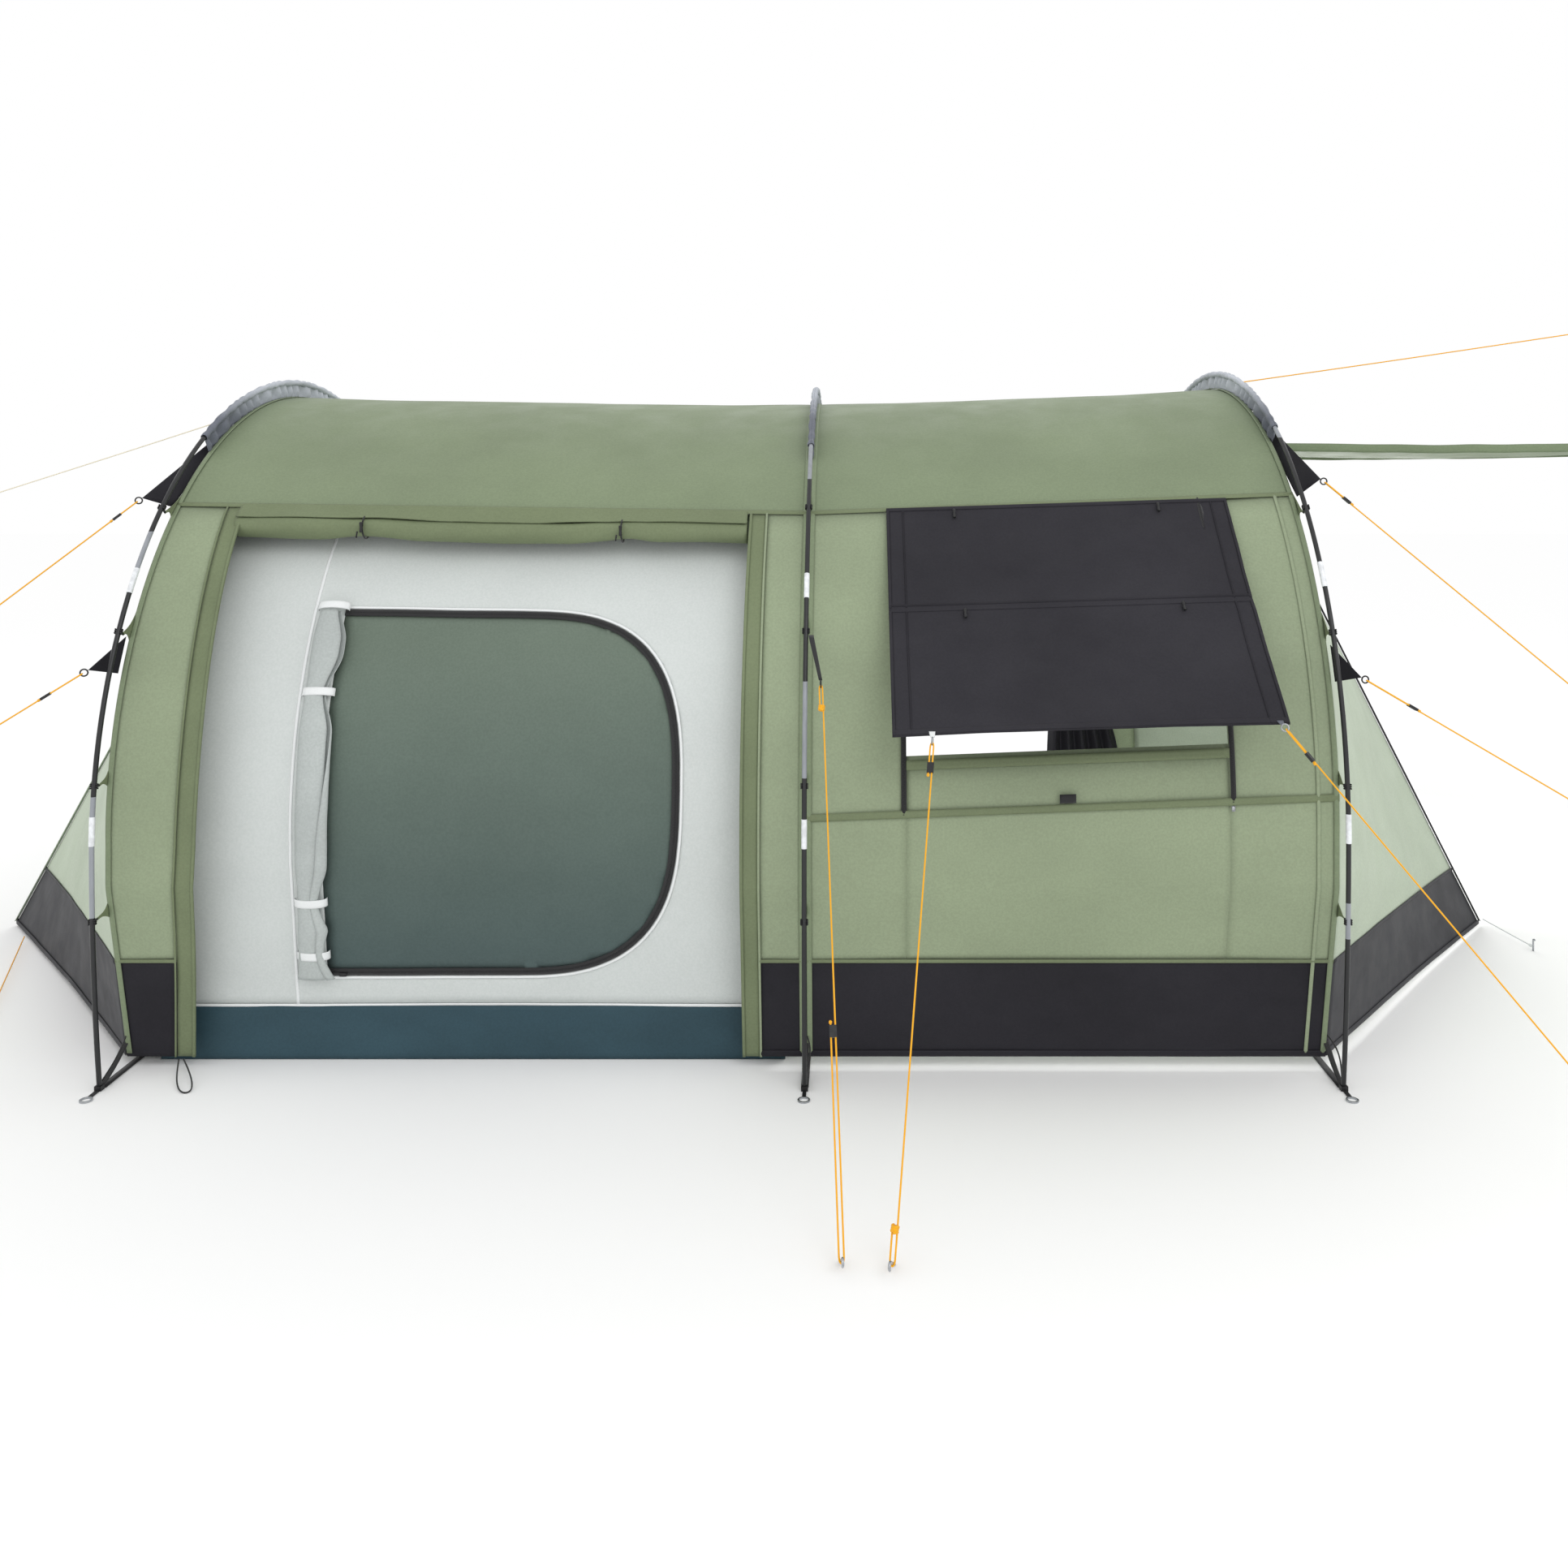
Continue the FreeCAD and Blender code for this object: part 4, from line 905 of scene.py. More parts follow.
def declare(obj, flat, held="stretched", rests_on=("hoop_left", "hoop_middle", "hoop_right"), area=None, pieces=()):
    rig.sheet(obj, flat, held, rests_on, area, pieces)
    return obj


def on_tent(obj, *nodes):
    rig.ride(obj, "tent")
    if nodes:
        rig.replaces(obj, *nodes)
    return obj


def seam_strip(name, f, count, width, material, lift=0.0012, thickness=0.0012):
    """A narrow raised tape whose centre runs along f, which gives a point and the directions across and out."""

    def place(u, v):
        point, across, out = f(u)
        crown = 1 - (2 * v - 1) ** 2
        return point + across * ((v - 0.5) * width) + out * (lift + 0.0006 * crown)

    return grid(name, place, count, 3, material, thickness)


def fly_frame(x, q):
    point = fly_at(x, q)
    up = (fly_at(x, min(q + 0.01, 4)) - fly_at(x, max(q - 0.01, 0))).normalized()
    out = ALONG.cross(up)
    if out.dot(point - Vector((x, 0, FLY_SPRING))) < 0:
        out = -out
    return point, up, out


def along_seam(x0, x1, q, lift=0.0):
    def f(u):
        point, up, out = fly_frame(x0 + (x1 - x0) * u, q)
        return point + out * lift, up, out

    return f


def across_seam(x, q0, q1, lift=0.0):
    def f(u):
        q = q0 + (q1 - q0) * u
        point, _, out = fly_frame(x(q) if callable(x) else x, q)
        return point + out * lift, ALONG, out

    return f


def make_roof():
    roof = fly_sheet("roof", LEFT, RIGHT, SEAM_Q, 4 - SEAM_Q, FLY_ROOF, 0.004, 3.0)
    declare(on_tent(roof, "fly_roof"), (3.255, 1.98))
    parts = []
    for q in (SEAM_Q, 4 - SEAM_Q):
        parts.append(seam_strip("s", along_seam(LEFT, RIGHT, q, 0.002), 150, 0.016, OLIVE))
    for x in (LEFT + 0.008, -0.010, 0.010, RIGHT - 0.008):
        parts.append(seam_strip("s", across_seam(x, 0.02, 3.98, 0.002), 200, 0.014, FLY_ROOF))
    on_tent(join("fly_seams", *parts))


def make_walls():
    right_edge = DOOR_X[1] + EDGING
    near_left = join(
        "wall_near_left",
        fly_sheet("a", LEFT, left_binding_edge, BAND_Q, SEAM_Q, FLY, 0.003),
        fly_sheet("b", right_edge, 0.0, BAND_Q, SEAM_Q, FLY, 0.003),
    )
    declare(on_tent(near_left, "fly_wall_near_left"), (0.30, 1.32))
    near_right = join(
        "wall_near_right",
        fly_sheet("a", 0.0, WINDOW_X[0], BAND_Q, SEAM_Q, FLY, 0.004),
        fly_sheet("b", WINDOW_X[1], RIGHT, BAND_Q, SEAM_Q, FLY, 0.004),
        fly_sheet("c", *WINDOW_X, BAND_Q, SILL_Q, FLY, 0.004),
    )
    declare(on_tent(near_right, "fly_wall_near_right"), (1.41, 1.32), area=1.24)
    far = join(
        "wall_far",
        fly_sheet("a", LEFT, FAR_DOOR_X[0], 4 - SEAM_Q, 4 - BAND_Q, FLY, 0.005, 5.0),
        fly_sheet("b", FAR_DOOR_X[1], RIGHT, 4 - SEAM_Q, 4 - BAND_Q, FLY, 0.004, 5.0),
        fly_sheet("c", *FAR_DOOR_X, 4 - SEAM_Q, FAR_HEAD_Q, FLY, 0.004, 5.0),
    )
    declare(on_tent(far, "fly_wall_far"), (3.255, 1.32), area=3.4)
    edging = join(
        "side_door_edging",
        fly_sheet("a", left_binding_edge, left_door_edge, 0.0, SEAM_Q, OLIVE, 0.003, 9.0, 0.0, 0.012),
        fly_sheet("b", DOOR_X[1], right_edge, 0.0, SEAM_Q, OLIVE, 0.003, 9.0, 0.0, 0.012),
    )
    declare(on_tent(edging, "door_edging"), (0.10, 1.58))
    band = join(
        "skirt",
        fly_sheet("a", LEFT, left_binding_edge, 0.0, BAND_Q, BAND, 0.003, 2.0, 0.0),
        fly_sheet("b", right_edge, RIGHT, 0.0, BAND_Q, BAND, 0.004, 2.0, 0.0),
        fly_sheet("c", LEFT, RIGHT, 4 - BAND_Q, 4.0, BAND, 0.004, 2.0, 0.0),
        apse_sheet("d", LEFT, -1, 0.0, BAND_Q, APSE_BAND),
        apse_sheet("e", LEFT, 1, 0.0, BAND_Q, APSE_BAND),
        apse_sheet("f", RIGHT, -1, 0.0, BAND_Q, APSE_BAND),
        apse_sheet("g", RIGHT, 1, 0.0, BAND_Q, APSE_BAND, WING_REACH),
    )
    declare(on_tent(band, "mud_band"), (9.3, 0.29))
    trims = [
        seam_strip("s", along_seam(0.0, RIGHT, q_of(PIPING_HEIGHT), 0.002), 70, 0.020, OLIVE),
        seam_strip("s", along_seam(*WINDOW_X, SILL_Q - 0.012, 0.002), 50, 0.026, OLIVE, 0.002),
        seam_strip("s", along_seam(right_edge, RIGHT, BAND_Q + 0.006, 0.002), 90, 0.010, OLIVE),
        seam_strip("s", along_seam(LEFT, left_binding_edge(BAND_Q), BAND_Q + 0.006, 0.002), 20, 0.010, OLIVE),
        seam_strip("s", along_seam(right_edge, RIGHT, 0.018, 0.002), 90, 0.018, BAND),
        seam_strip("s", across_seam(RIGHT - 0.055, 0.02, SEAM_Q, 0.002), 90, 0.010, FLY),
        seam_strip("s", across_seam(lambda q: left_binding_edge(q) - 0.003, 0.0, SEAM_Q, 0.002), 90, 0.005, OLIVE),
        seam_strip("s", across_seam(right_edge, 0.0, SEAM_Q, 0.002), 90, 0.006, FLY),
        seam_strip("s", across_seam(lambda q: left_door_edge(q) - 0.004, 0.0, SEAM_Q, 0.002), 90, 0.008, OLIVE),
        seam_strip("s", across_seam(DOOR_X[1] + 0.004, 0.0, SEAM_Q, 0.002), 90, 0.008, OLIVE),
    ]
    for x in FAR_DOOR_X:
        trims.append(seam_strip("s", across_seam(x, FAR_HEAD_Q, 4 - BAND_Q, 0.003), 60, 0.020, TAPE))
    trims.append(seam_strip("s", along_seam(*FAR_DOOR_X, FAR_HEAD_Q, 0.003), 50, 0.020, OLIVE))
    patch = along_seam(0.672, 0.715, q_of(0.728), 0.005)
    trims.append(seam_strip("s", patch, 6, 0.023, TAPE, 0.003, 0.002))
    on_tent(join("wall_trims", *trims))


def seam_of(x_hoop, share):
    apex_x, apex_z = APEX[x_hoop]
    foot = Vector((apex_x, 0, apex_z))
    top = fly_at(x_hoop, 2.0)
    return foot + (top - foot) * share


def apse_share(x_hoop, q):
    point, top = fly_at(x_hoop, q), fly_at(x_hoop, 2.0)
    share = (point.z - 0.030) / (top.z - 0.030)
    return share * (0.65 + 0.35 * share)


def apse_point(x_hoop, side, q, t):
    """A point of an apse's cloth: q up the hoop's outline and t from the hoop to the centre seam."""
    rim = fly_at(x_hoop, q)
    rim.y = side * abs(rim.y)
    seam = seam_of(x_hoop, apse_share(x_hoop, q))
    point = mix_points(rim, seam, t)
    span = (seam - rim).length
    outward = Vector((math.copysign(1, APEX[x_hoop][0]), side, 0.15)).normalized()
    bulge = 4 * t * (1 - t)
    wave = crumple(t * 1.5 + x_hoop, q * 2.0, 0.006, 4.0 + side)
    return point + outward * (bulge * (wave - 0.02 * span * 0.3))


def apse_sheet(name, x_hoop, side, q0, q1, material, reach=1.0):
    return grid(
        name,
        lambda u, v: apse_point(x_hoop, side, q0 + (q1 - q0) * v, u * reach),
        round(44 * reach),
        max(6, round((q1 - q0) * 60)),
        material,
    )


def make_apses():
    tip = seam_of(RIGHT, 0.895)

    def head(u, v):
        q = 2.0 + 0.377 * u
        return mix_points(fly_at(RIGHT, q), tip, v * (0.999 if u else 1.0))

    apse = join(
        "end_panels",
        apse_sheet("a", LEFT, -1, BAND_Q, 1.985, APSE),
        apse_sheet("b", LEFT, 1, BAND_Q, 1.985, APSE),
        apse_sheet("c", RIGHT, -1, BAND_Q, 1.985, APSE),
        apse_sheet("e", RIGHT, 1, BAND_Q, SEAM_Q, APSE, WING_REACH),
        grid("d", head, 16, 12, APSE),
    )
    declare(on_tent(apse, "apse_panels"), (5.2, 1.7), area=6.9)
    parts = []
    for x_hoop in (LEFT, RIGHT):
        outward = math.copysign(1, APEX[x_hoop][0])

        def ridge(u, x_hoop=x_hoop, outward=outward):
            point = seam_of(x_hoop, 0.004 + 0.985 * u)
            return point + Vector((outward * 0.004, 0, 0.003)), Vector((0, 1, 0)), Vector((outward, 0, 0.5)).normalized()

        parts.append(seam_strip("r", ridge, 60, 0.018, BAND if x_hoop == RIGHT else APSE, 0.001, 0.002))
        for side in (-1, 1):
            reach = WING_REACH if x_hoop == RIGHT and side == 1 else 1.0
            out = Vector((outward, side, 0)).normalized()

            def hem(u, x_hoop=x_hoop, side=side, reach=reach, out=out):
                return apse_point(x_hoop, side, 0.02, u * reach) + out * 0.002, UP, out

            def band(u, x_hoop=x_hoop, side=side, reach=reach, out=out):
                return apse_point(x_hoop, side, BAND_Q, u * reach) + out * 0.002, UP, out

            parts.append(seam_strip("h", hem, 50, 0.016, APSE_BAND))
            parts.append(seam_strip("b", band, 50, 0.010, APSE_BAND))

    def door_edge(u):
        point = apse_point(RIGHT, 1, 0.02 + (SEAM_Q - 0.02) * u, WING_REACH)
        return point + Vector((0.001, 0.001, 0)), Vector((1, -1, 0)).normalized(), Vector((1, 1, 0)).normalized()

    parts.append(seam_strip("w", door_edge, 80, 0.020, TAPE))
    on_tent(join("end_seams", *parts))


def make_canopy():
    a, b, c, d = (Vector(p) for p in CANOPY)

    def place(u, v):
        near, far = mix_points(b, c, u), mix_points(a, d, u)
        point = mix_points(near, far, v)
        sag = 0.030 * math.sin(math.pi * u) * (0.35 + 0.65 * math.sin(math.pi * v))
        return point - UP * (sag + crumple(u * 3, v * 2, 0.006, 8.0) * math.sin(math.pi * u))

    canopy = grid("canopy", place, 90, 40, CANOPY_CLOTH, 0.0015)
    start, end = Vector((1.55, 0.3, 1.72)), Vector((3.36, 0.3, 1.72))
    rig.replaces(canopy, "canopy_panel")
    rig.slot(canopy, "apse_fabric")

    def near_edge(u):
        return place(u, 0.0) + UP * 0.001, Vector((0, 0.3, -1)).normalized(), Vector((0, -1, -0.3)).normalized()

    def far_edge(u):
        return place(u, 1.0) + UP * 0.001, Vector((0, -0.3, -1)).normalized(), Vector((0, 1, -0.3)).normalized()

    hems = join(
        "canopy_hems",
        seam_strip("n", near_edge, 90, 0.030, CANOPY_CLOTH, 0.001, 0.003),
        seam_strip("f", far_edge, 90, 0.030, CANOPY_CLOTH, 0.001, 0.003),
    )
    for piece in (canopy, hems):
        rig.blend(piece, "tent", "canopy_poles_upper", start, end)
    declare(canopy, (1.99, 1.24), "stretched", ("canopy_upper_tubes",), 1.90, [hems])


# ---------------------------------------------------------------- hoops and what hangs from them


class Hoop:
    def __init__(self, x):
        self.x = x
        self.spring = HOOP_TOPS[x] - POLE_RADIUS - HOOP_RADIUS
        inset, drop = HOOP_RADIUS - HOOP_FOOT, self.spring - 0.014
        self.leg_radius = (inset**2 + drop**2) / (2 * inset)

    def at(self, z, side=-1):
        """The pole's centre at a height, with its own direction there."""
        if z < self.spring:
            fall = self.spring - z
            y = HOOP_RADIUS - self.leg_radius + math.sqrt(self.leg_radius**2 - fall**2)
            slope = fall / math.sqrt(self.leg_radius**2 - fall**2)
            return Vector((self.x, side * y, z)), Vector((0, side * slope, 1)).normalized()
        lift = z - self.spring
        y = math.sqrt(HOOP_RADIUS**2 - lift**2)
        return Vector((self.x, side * y, z)), Vector((0, -side * lift, y)).normalized()


hoops = {x: Hoop(x) for x in HOOP_TOPS}
CLIP_HEIGHTS = (1.520, 1.190, 0.800, 0.450)


def fly_point_at(x, z, side):
    """The fly's outer face at a height and a side."""
    lift = rise(x)
    height = z - lift if z > 0.6 else z
    point = fly_at(x, q_of(min(max(height, 0.03), FLY_SPRING + FLY_RADIUS)), 0.001)
    return Vector((x, side * abs(point.y), z))


def make_clip_tabs():
    parts = []
    for x, hoop in hoops.items():
        for height in CLIP_HEIGHTS:
            for side in (-1, 1):
                centre, along = hoop.at(height, side)
                inward = along.cross(ALONG)
                if inward.y * side > 0:
                    inward = -inward
                tip = centre + inward * 0.0225

                def place(u, v, tip=tip, height=height, x=x, side=side):
                    size = 1.0 if height > 1.1 else 0.55
                    edge_z = height + 0.0075 + size * (0.0375 - 0.075 * v)
                    edge = fly_point_at(x, edge_z, side)
                    narrow = 0.12 + 0.88 * (1 - u) ** 2.4
                    middle = fly_point_at(x, height + 0.0075, side)
                    spread = (edge - middle) * narrow
                    spine = mix_points(middle, tip, u)
                    return spine + spread + ALONG * (0.0012 * math.sin(5 * u + 3 * v))

                parts.append(grid("t", place, 8, 8, OLIVE, 0.0015))
    tabs = join("clip_gussets", *parts)
    on_tent(tabs, "clip_tabs")


def make_clips():
    """C-shaped hooks snapped on the poles, each with a short webbing arm."""
    parts = []
    for x, hoop in hoops.items():
        for height in CLIP_HEIGHTS:
            for side in (-1, 1):
                centre, along = hoop.at(height, side)
                inward = along.cross(ALONG)
                if inward.y * side > 0:
                    inward = -inward
                for shift in (-0.0052, 0.0, 0.0052):
                    arc = []
                    for i in range(15):
                        a = math.radians(-128 + 256 * i / 14)
                        arc.append(centre + along * shift + (inward * math.cos(a) + ALONG * math.sin(a)) * 0.0088)
                    parts.append(rod("c", arc, 0.0022, PLASTIC, 8))
                arm = [centre + inward * r for r in (0.009, 0.013, 0.018, 0.0235)]
                parts.append(rod("a", arm, lambda t: 0.0042 - 0.0012 * t, PLASTIC, 10))
    clips = join("pole_hooks", *parts)
    on_tent(clips, "pole_clips")


def make_sleeves():
    """Gathered webs that hang the fly's crown from each hoop."""
    q0 = 1 + math.radians(56.14) / (math.pi / 2)
    parts = []
    for x, hoop in hoops.items():

        def place(u, v, x=x, hoop=hoop):
            q = q0 + (4 - 2 * q0) * u
            low = fly_at(x, q, 0.001)
            direction = (low - Vector((x, 0, hoop.spring))).normalized()
            high = Vector((x, 0, hoop.spring)) + direction * (HOOP_RADIUS - 0.004)
            ruffle = 0.0085 * math.sin(u * 150 + 2.2 * math.sin(u * 31)) * (0.35 + 0.65 * math.sin(math.pi * min(1, v * 1.25)))
            return mix_points(low, high, v) + ALONG * ruffle

        parts.append(grid("w", place, 420, 7, SLEEVE, 0.0012))

        def sheath(u, v, x=x, hoop=hoop):
            q = q0 + (4 - 2 * q0) * u
            low = fly_at(x, q, 0.001)
            direction = (low - Vector((x, 0, hoop.spring))).normalized()
            centre = Vector((x, 0, hoop.spring)) + direction * HOOP_RADIUS
            a = 2 * math.pi * v
            r = 0.0094 + 0.0013 * math.sin(u * 170 + 2.0 * math.sin(u * 37)) + 0.0006 * math.sin(3 * a + u * 60)
            return centre + (direction * math.cos(a) + ALONG * math.sin(a)) * r

        parts.append(grid("s", sheath, 420, 12, SLEEVE, 0.0010))
    sleeves = join("crown_sleeves", *parts)
    declare(on_tent(sleeves, "pole_sleeves"), (4.9, 0.125), "gathered")


def gusset(name, corners, material, bow=0.10, sides=(1, 1, 1)):
    """A three-cornered patch with hollow edges."""
    a, b, c = (Vector(p) for p in corners)
    middle = (a + b + c) / 3

    def place(u, v):
        point = mix_points(mix_points(a, b, v), c, u)
        pull = bow * 4 * v * (1 - v) * u * (1 - u)
        return mix_points(point, middle, pull)

    return grid(name, place, 14, 14, material, 0.0015)


def make_guy_gussets():
    parts = []
    spans = {
        "left_upper": (LEFT, 1.790, 1.520),
        "right_upper": (RIGHT, 1.830, 1.550),
        "left_lower": (LEFT, 1.170, 1.075),
        "right_lower": (RIGHT, 1.150, 1.055),
    }
    for name, (x, high, low) in spans.items():
        outward = math.copysign(1, x)
        along = line_frame(name)[0]
        tip = Vector(GUYLINES[name][0]) - along * 0.0022
        shift = ALONG * (outward * 0.0105)
        corners = (fly_point_at(x, high, -1) + shift, fly_point_at(x, low, -1) + shift, tip)
        parts.append(gusset("g", corners, BAND))
    along = line_frame("middle")[0]
    tip = Vector(GUYLINES["middle"][0]) - along * 0.0022
    start, _ = hoops[0.0].at(1.180)
    start += Vector((0.014, -0.010, 0))

    def strap(u, v):
        point = mix_points(start, tip, u)
        return point + ALONG * ((v - 0.5) * 0.014 * (1 - 0.35 * u)) + Vector((0, -0.001, 0)) * math.sin(9 * u)

    parts.append(grid("m", strap, 14, 3, TAPE, 0.002))
    on_tent(join("guy_gussets", *parts), "guy_tabs")


def make_foot_straps():
    """Webbing from the hem to each pole foot, with an elastic beside it, and the strap across the ground."""
    parts = []
    for x in hoops:
        for side in (-1, 1):
            start = Vector((x, side * 1.156, 0.075))
            end = Vector((x, side * 1.274, 0.006))

            def strap(u, v, start=start, end=end):
                sag = UP * (-0.006 * math.sin(math.pi * u))
                return mix_points(start, end, u) + sag + ALONG * ((v - 0.5) * (0.016 - 0.004 * u))

            parts.append(grid("s", strap, 14, 4, TAPE, 0.002))
            cord = []
            for i in range(16):
                t = i / 15
                point = mix_points(start + UP * 0.020, end + UP * 0.012, t)
                cord.append(point + ALONG * (0.012 * math.sin(math.pi * t)) + UP * (0.010 * math.sin(math.pi * t)))
            parts.append(rod("e", cord, 0.0022, ELASTIC, 8))

        def ground(u, v, x=x):
            y = -1.272 + 2.544 * u
            return Vector((x + (v - 0.5) * 0.020, y, 0.0012 + 0.0004 * math.sin(u * 60)))

        parts.append(grid("g", ground, 60, 2, TAPE, 0.0018))
    on_tent(join("foot_webbing", *parts), "foot_straps")


# ---------------------------------------------------------------- rolled door, flap, zips


def make_side_roll():
    """The side door rolled up under the roof seam, drawn in at its two ties."""
    x0, x1 = DOOR_X[0] + 0.006, DOOR_X[1] - 0.006
    ties = (-1.284, -0.540)
    turns = 4.2
    y0, z0 = ROLL_CENTRE

    def squeeze(x):
        return min(smooth(abs(x - tie) / 0.16) for tie in ties)

    def place(u, v):
        x = x0 + (x1 - x0) * u
        free = squeeze(x)
        tightness = 0.80 + 0.20 * free
        wobble = 0.004 * noise.noise(Vector((x * 4.0, v * 2.0, 3.0)))
        sag = -0.010 * free * (0.6 + 0.4 * math.sin(5 * x)) + 0.004 * noise.noise(Vector((x * 2, 1, 1)))
        if v > 0.93:
            t = (v - 0.93) / 0.07
            start = spiral(0.93, x, tightness, wobble, sag)
            end = fly_at(x, SEAM_Q + 0.001, 0.0035)
            return mix_points(start, end, smooth(t))
        return spiral(v, x, tightness, wobble, sag)

    def spiral(v, x, tightness, wobble, sag):
        share = v / 0.93
        angle = 2 * math.pi * turns * share + 0.9
        r = (0.006 + 0.029 * share ** 0.8) * tightness + wobble * share
        pleat = noise.noise(Vector((x * 11, angle * 0.8, 2.0))) * (1.25 - 0.9 * squeeze(x))
        r *= 1 + (0.06 * math.sin(3 * angle + x * 9) + 0.16 * pleat) * share
        return Vector((x, y0 + r * math.cos(angle) * 0.95, z0 + rise(x) + sag + r * math.sin(angle)))

    roll = grid("side_door_rolled", place, 150, 130, OLIVE, 0.0012)
    declare(on_tent(roll, "side_door_roll"), (1.475, 0.62), "folded", ("fly_roof",))
    parts = []
    for tie in ties:
        loop = []
        for i in range(22):
            a = 2 * math.pi * i / 22
            loop.append(Vector((tie, y0 + 0.031 * math.cos(a), z0 + rise(tie) - 0.001 + 0.033 * math.sin(a))))
        parts.append(rod("l", loop, 0.0024, ELASTIC, 8, closed=True))
        parts.append(toggle(Vector((tie, y0 - 0.040, z0 + rise(tie))), UP, Vector((0, -1, 0))))
        centre = Vector((tie - 0.012, y0 - 0.036, z0 + rise(tie) - 0.012))
        parts.append(rod("h", [centre, centre + Vector((-0.002, -0.004, -0.018))], 0.0024, ELASTIC, 8))
    return parts


def toggle(centre, axis, out):
    """A barrel toggle with a waist, tied in the middle with cord."""
    points = [centre + axis * (0.015 * (2 * i / 12 - 1)) for i in range(13)]
    barrel = rod("toggle", points, lambda t: 0.0050 * (0.72 + 0.28 * abs(2 * t - 1) ** 0.7) * (1 if 0.05 < t < 0.95 else 0.72), PLASTIC, 12)
    tie = rod("tie", [centre - out * 0.009, centre - out * 0.003], 0.0022, ELASTIC, 8)
    return join("toggle", barrel, tie)


def flap_place(x, place):
    y, z = place
    return Vector((x, y, z + 0.8 * rise(x)))


def flap_point(u, t):
    """A point of the flap: t from 0 at the top seam through 1 at the fold to 2 at the lower edge."""
    x = FLAP_X[0] + (FLAP_X[1] - FLAP_X[0]) * u
    top, fold, edge = (flap_place(x, p) for p in (FLAP_TOP, FLAP_FOLD, FLAP_EDGE))
    point = mix_points(top, fold, t) if t <= 1 else mix_points(fold, edge, t - 1)
    spread = 4 * u * (1 - u)
    if t > 1:
        scallop = 0.004 * (t - 1) ** 3 * spread
        ripple = 0.0022 * (t - 1) * math.sin(u * 14 + (t - 1) * 5)
        point += (fold - edge).normalized() * scallop
        point.y += ripple
    inward = Vector((0, 0.72, -0.69))
    folded = 1 - smooth(abs(t - 1) / 0.12)
    slack = 0.010 * spread * math.sin(math.pi * min(t, 2 - t)) if 0 < t < 2 else 0
    wrinkle = crumple(x * 1.6, t * 1.2, 0.004, 6.0) * (1 - folded) * min(1, t * 4)
    return point + inward * slack * (1 - folded) + inward * wrinkle


def flap_normal(u, t):
    du = flap_point(min(1, u + 0.01), t) - flap_point(max(0, u - 0.01), t)
    dt = flap_point(u, min(2, t + 0.01)) - flap_point(u, max(0, t - 0.01))
    out = du.cross(dt).normalized()
    return out if out.y < 0 else -out


def flap_strip(t0, t1, u0, u1, width, material, lift=0.0016):
    def f(s):
        u, t = u0 + (u1 - u0) * s, t0 + (t1 - t0) * s
        across = ALONG if t0 != t1 else (flap_point(u, min(2, t + 0.01)) - flap_point(u, max(0, t - 0.01))).normalized()
        return flap_point(u, t), across, flap_normal(u, t)

    return seam_strip("strip", f, 50, width, material, lift)


def make_flap(toggles):
    flap = grid("window_flap", lambda u, v: flap_point(u, 2 * v), 70, 72, FLAP)
    crease = grid("window_flap_crease", lambda u, v: flap_point(u, 0.975 + 0.05 * v) + UP * 0.0016, 70, 6, FLAP)
    for piece in (flap, crease):
        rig.blend(piece, "tent", "flap", flap_point(0.5, 0.96), flap_point(0.5, 1.04))
    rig.replaces(flap, "flap_upper", "flap_lower")
    declare(flap, (0.988, 0.786), "hung", ("fly_roof", "flap_fittings"), None, [crease])
    side = 0.048 / (FLAP_X[1] - FLAP_X[0])
    upper_trim, lower_trim = [], []
    for u in (side, 1 - side):
        upper_trim.append(flap_strip(0.0, 0.985, u, u, 0.004, BAND))
        lower_trim.append(flap_strip(1.015, 1.99, u, u, 0.004, BAND))
    for u in (0.004, 0.996):
        upper_trim.append(flap_strip(0.0, 0.985, u, u, 0.008, FLAP))
        lower_trim.append(flap_strip(1.015, 1.99, u, u, 0.008, FLAP))
    upper_trim.append(flap_strip(0.965, 0.965, 0.0, 1.0, 0.007, BAND))
    upper_trim.append(flap_strip(0.012, 0.012, 0.0, 1.0, 0.012, FLAP))
    lower_trim.append(flap_strip(1.970, 1.970, 0.0, 1.0, 0.016, FLAP))
    on_tent(join("window_flap_upper_seams", *upper_trim))
    seams = join("window_flap_lower_seams", *lower_trim)
    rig.ride(seams, "flap")
    for x in (0.420, 1.010):
        u = (x - FLAP_X[0]) / (FLAP_X[1] - FLAP_X[0])
        out = flap_normal(u, 0.10)
        axis = (flap_point(u, 0.14) - flap_point(u, 0.06)).normalized()
        toggles.append(toggle(flap_point(u, 0.08) + out * 0.009, axis, out))
    fittings = []
    for x in (0.430, 1.020):
        u = (x - FLAP_X[0]) / (FLAP_X[1] - FLAP_X[0])
        out = flap_normal(u, 1.06)
        axis = (flap_point(u, 1.10) - flap_point(u, 1.02)).normalized()
        fittings.append(toggle(flap_point(u, 1.062) + out * 0.009, axis, out))
    for name in ("flap_left", "flap_right"):
        anchor = Vector(GUYLINES[name][0])
        along = line_frame(name)[0]
        u = (anchor.x - FLAP_X[0]) / (FLAP_X[1] - FLAP_X[0])
        edge = flap_point(u, 1.975) + flap_normal(u, 1.975) * 0.002
        tip = anchor - along * 0.001

        def tab(s, v, edge=edge, tip=tip):
            return mix_points(edge, tip, s) + ALONG * ((v - 0.5) * (0.016 - 0.005 * s))

        fittings.append(grid("tab", tab, 6, 3, PIPING if name == "flap_left" else SLEEVE, 0.0018))
        ring_centre = anchor + along * 0.009
        fittings.append(end_loop("ring", ring_centre, 0.009, line_frame(name)[1], STEEL))
    fitting = join("flap_fasteners", *fittings)
    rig.ride(fitting, "flap")
    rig.replaces(fitting, "flap_fittings")


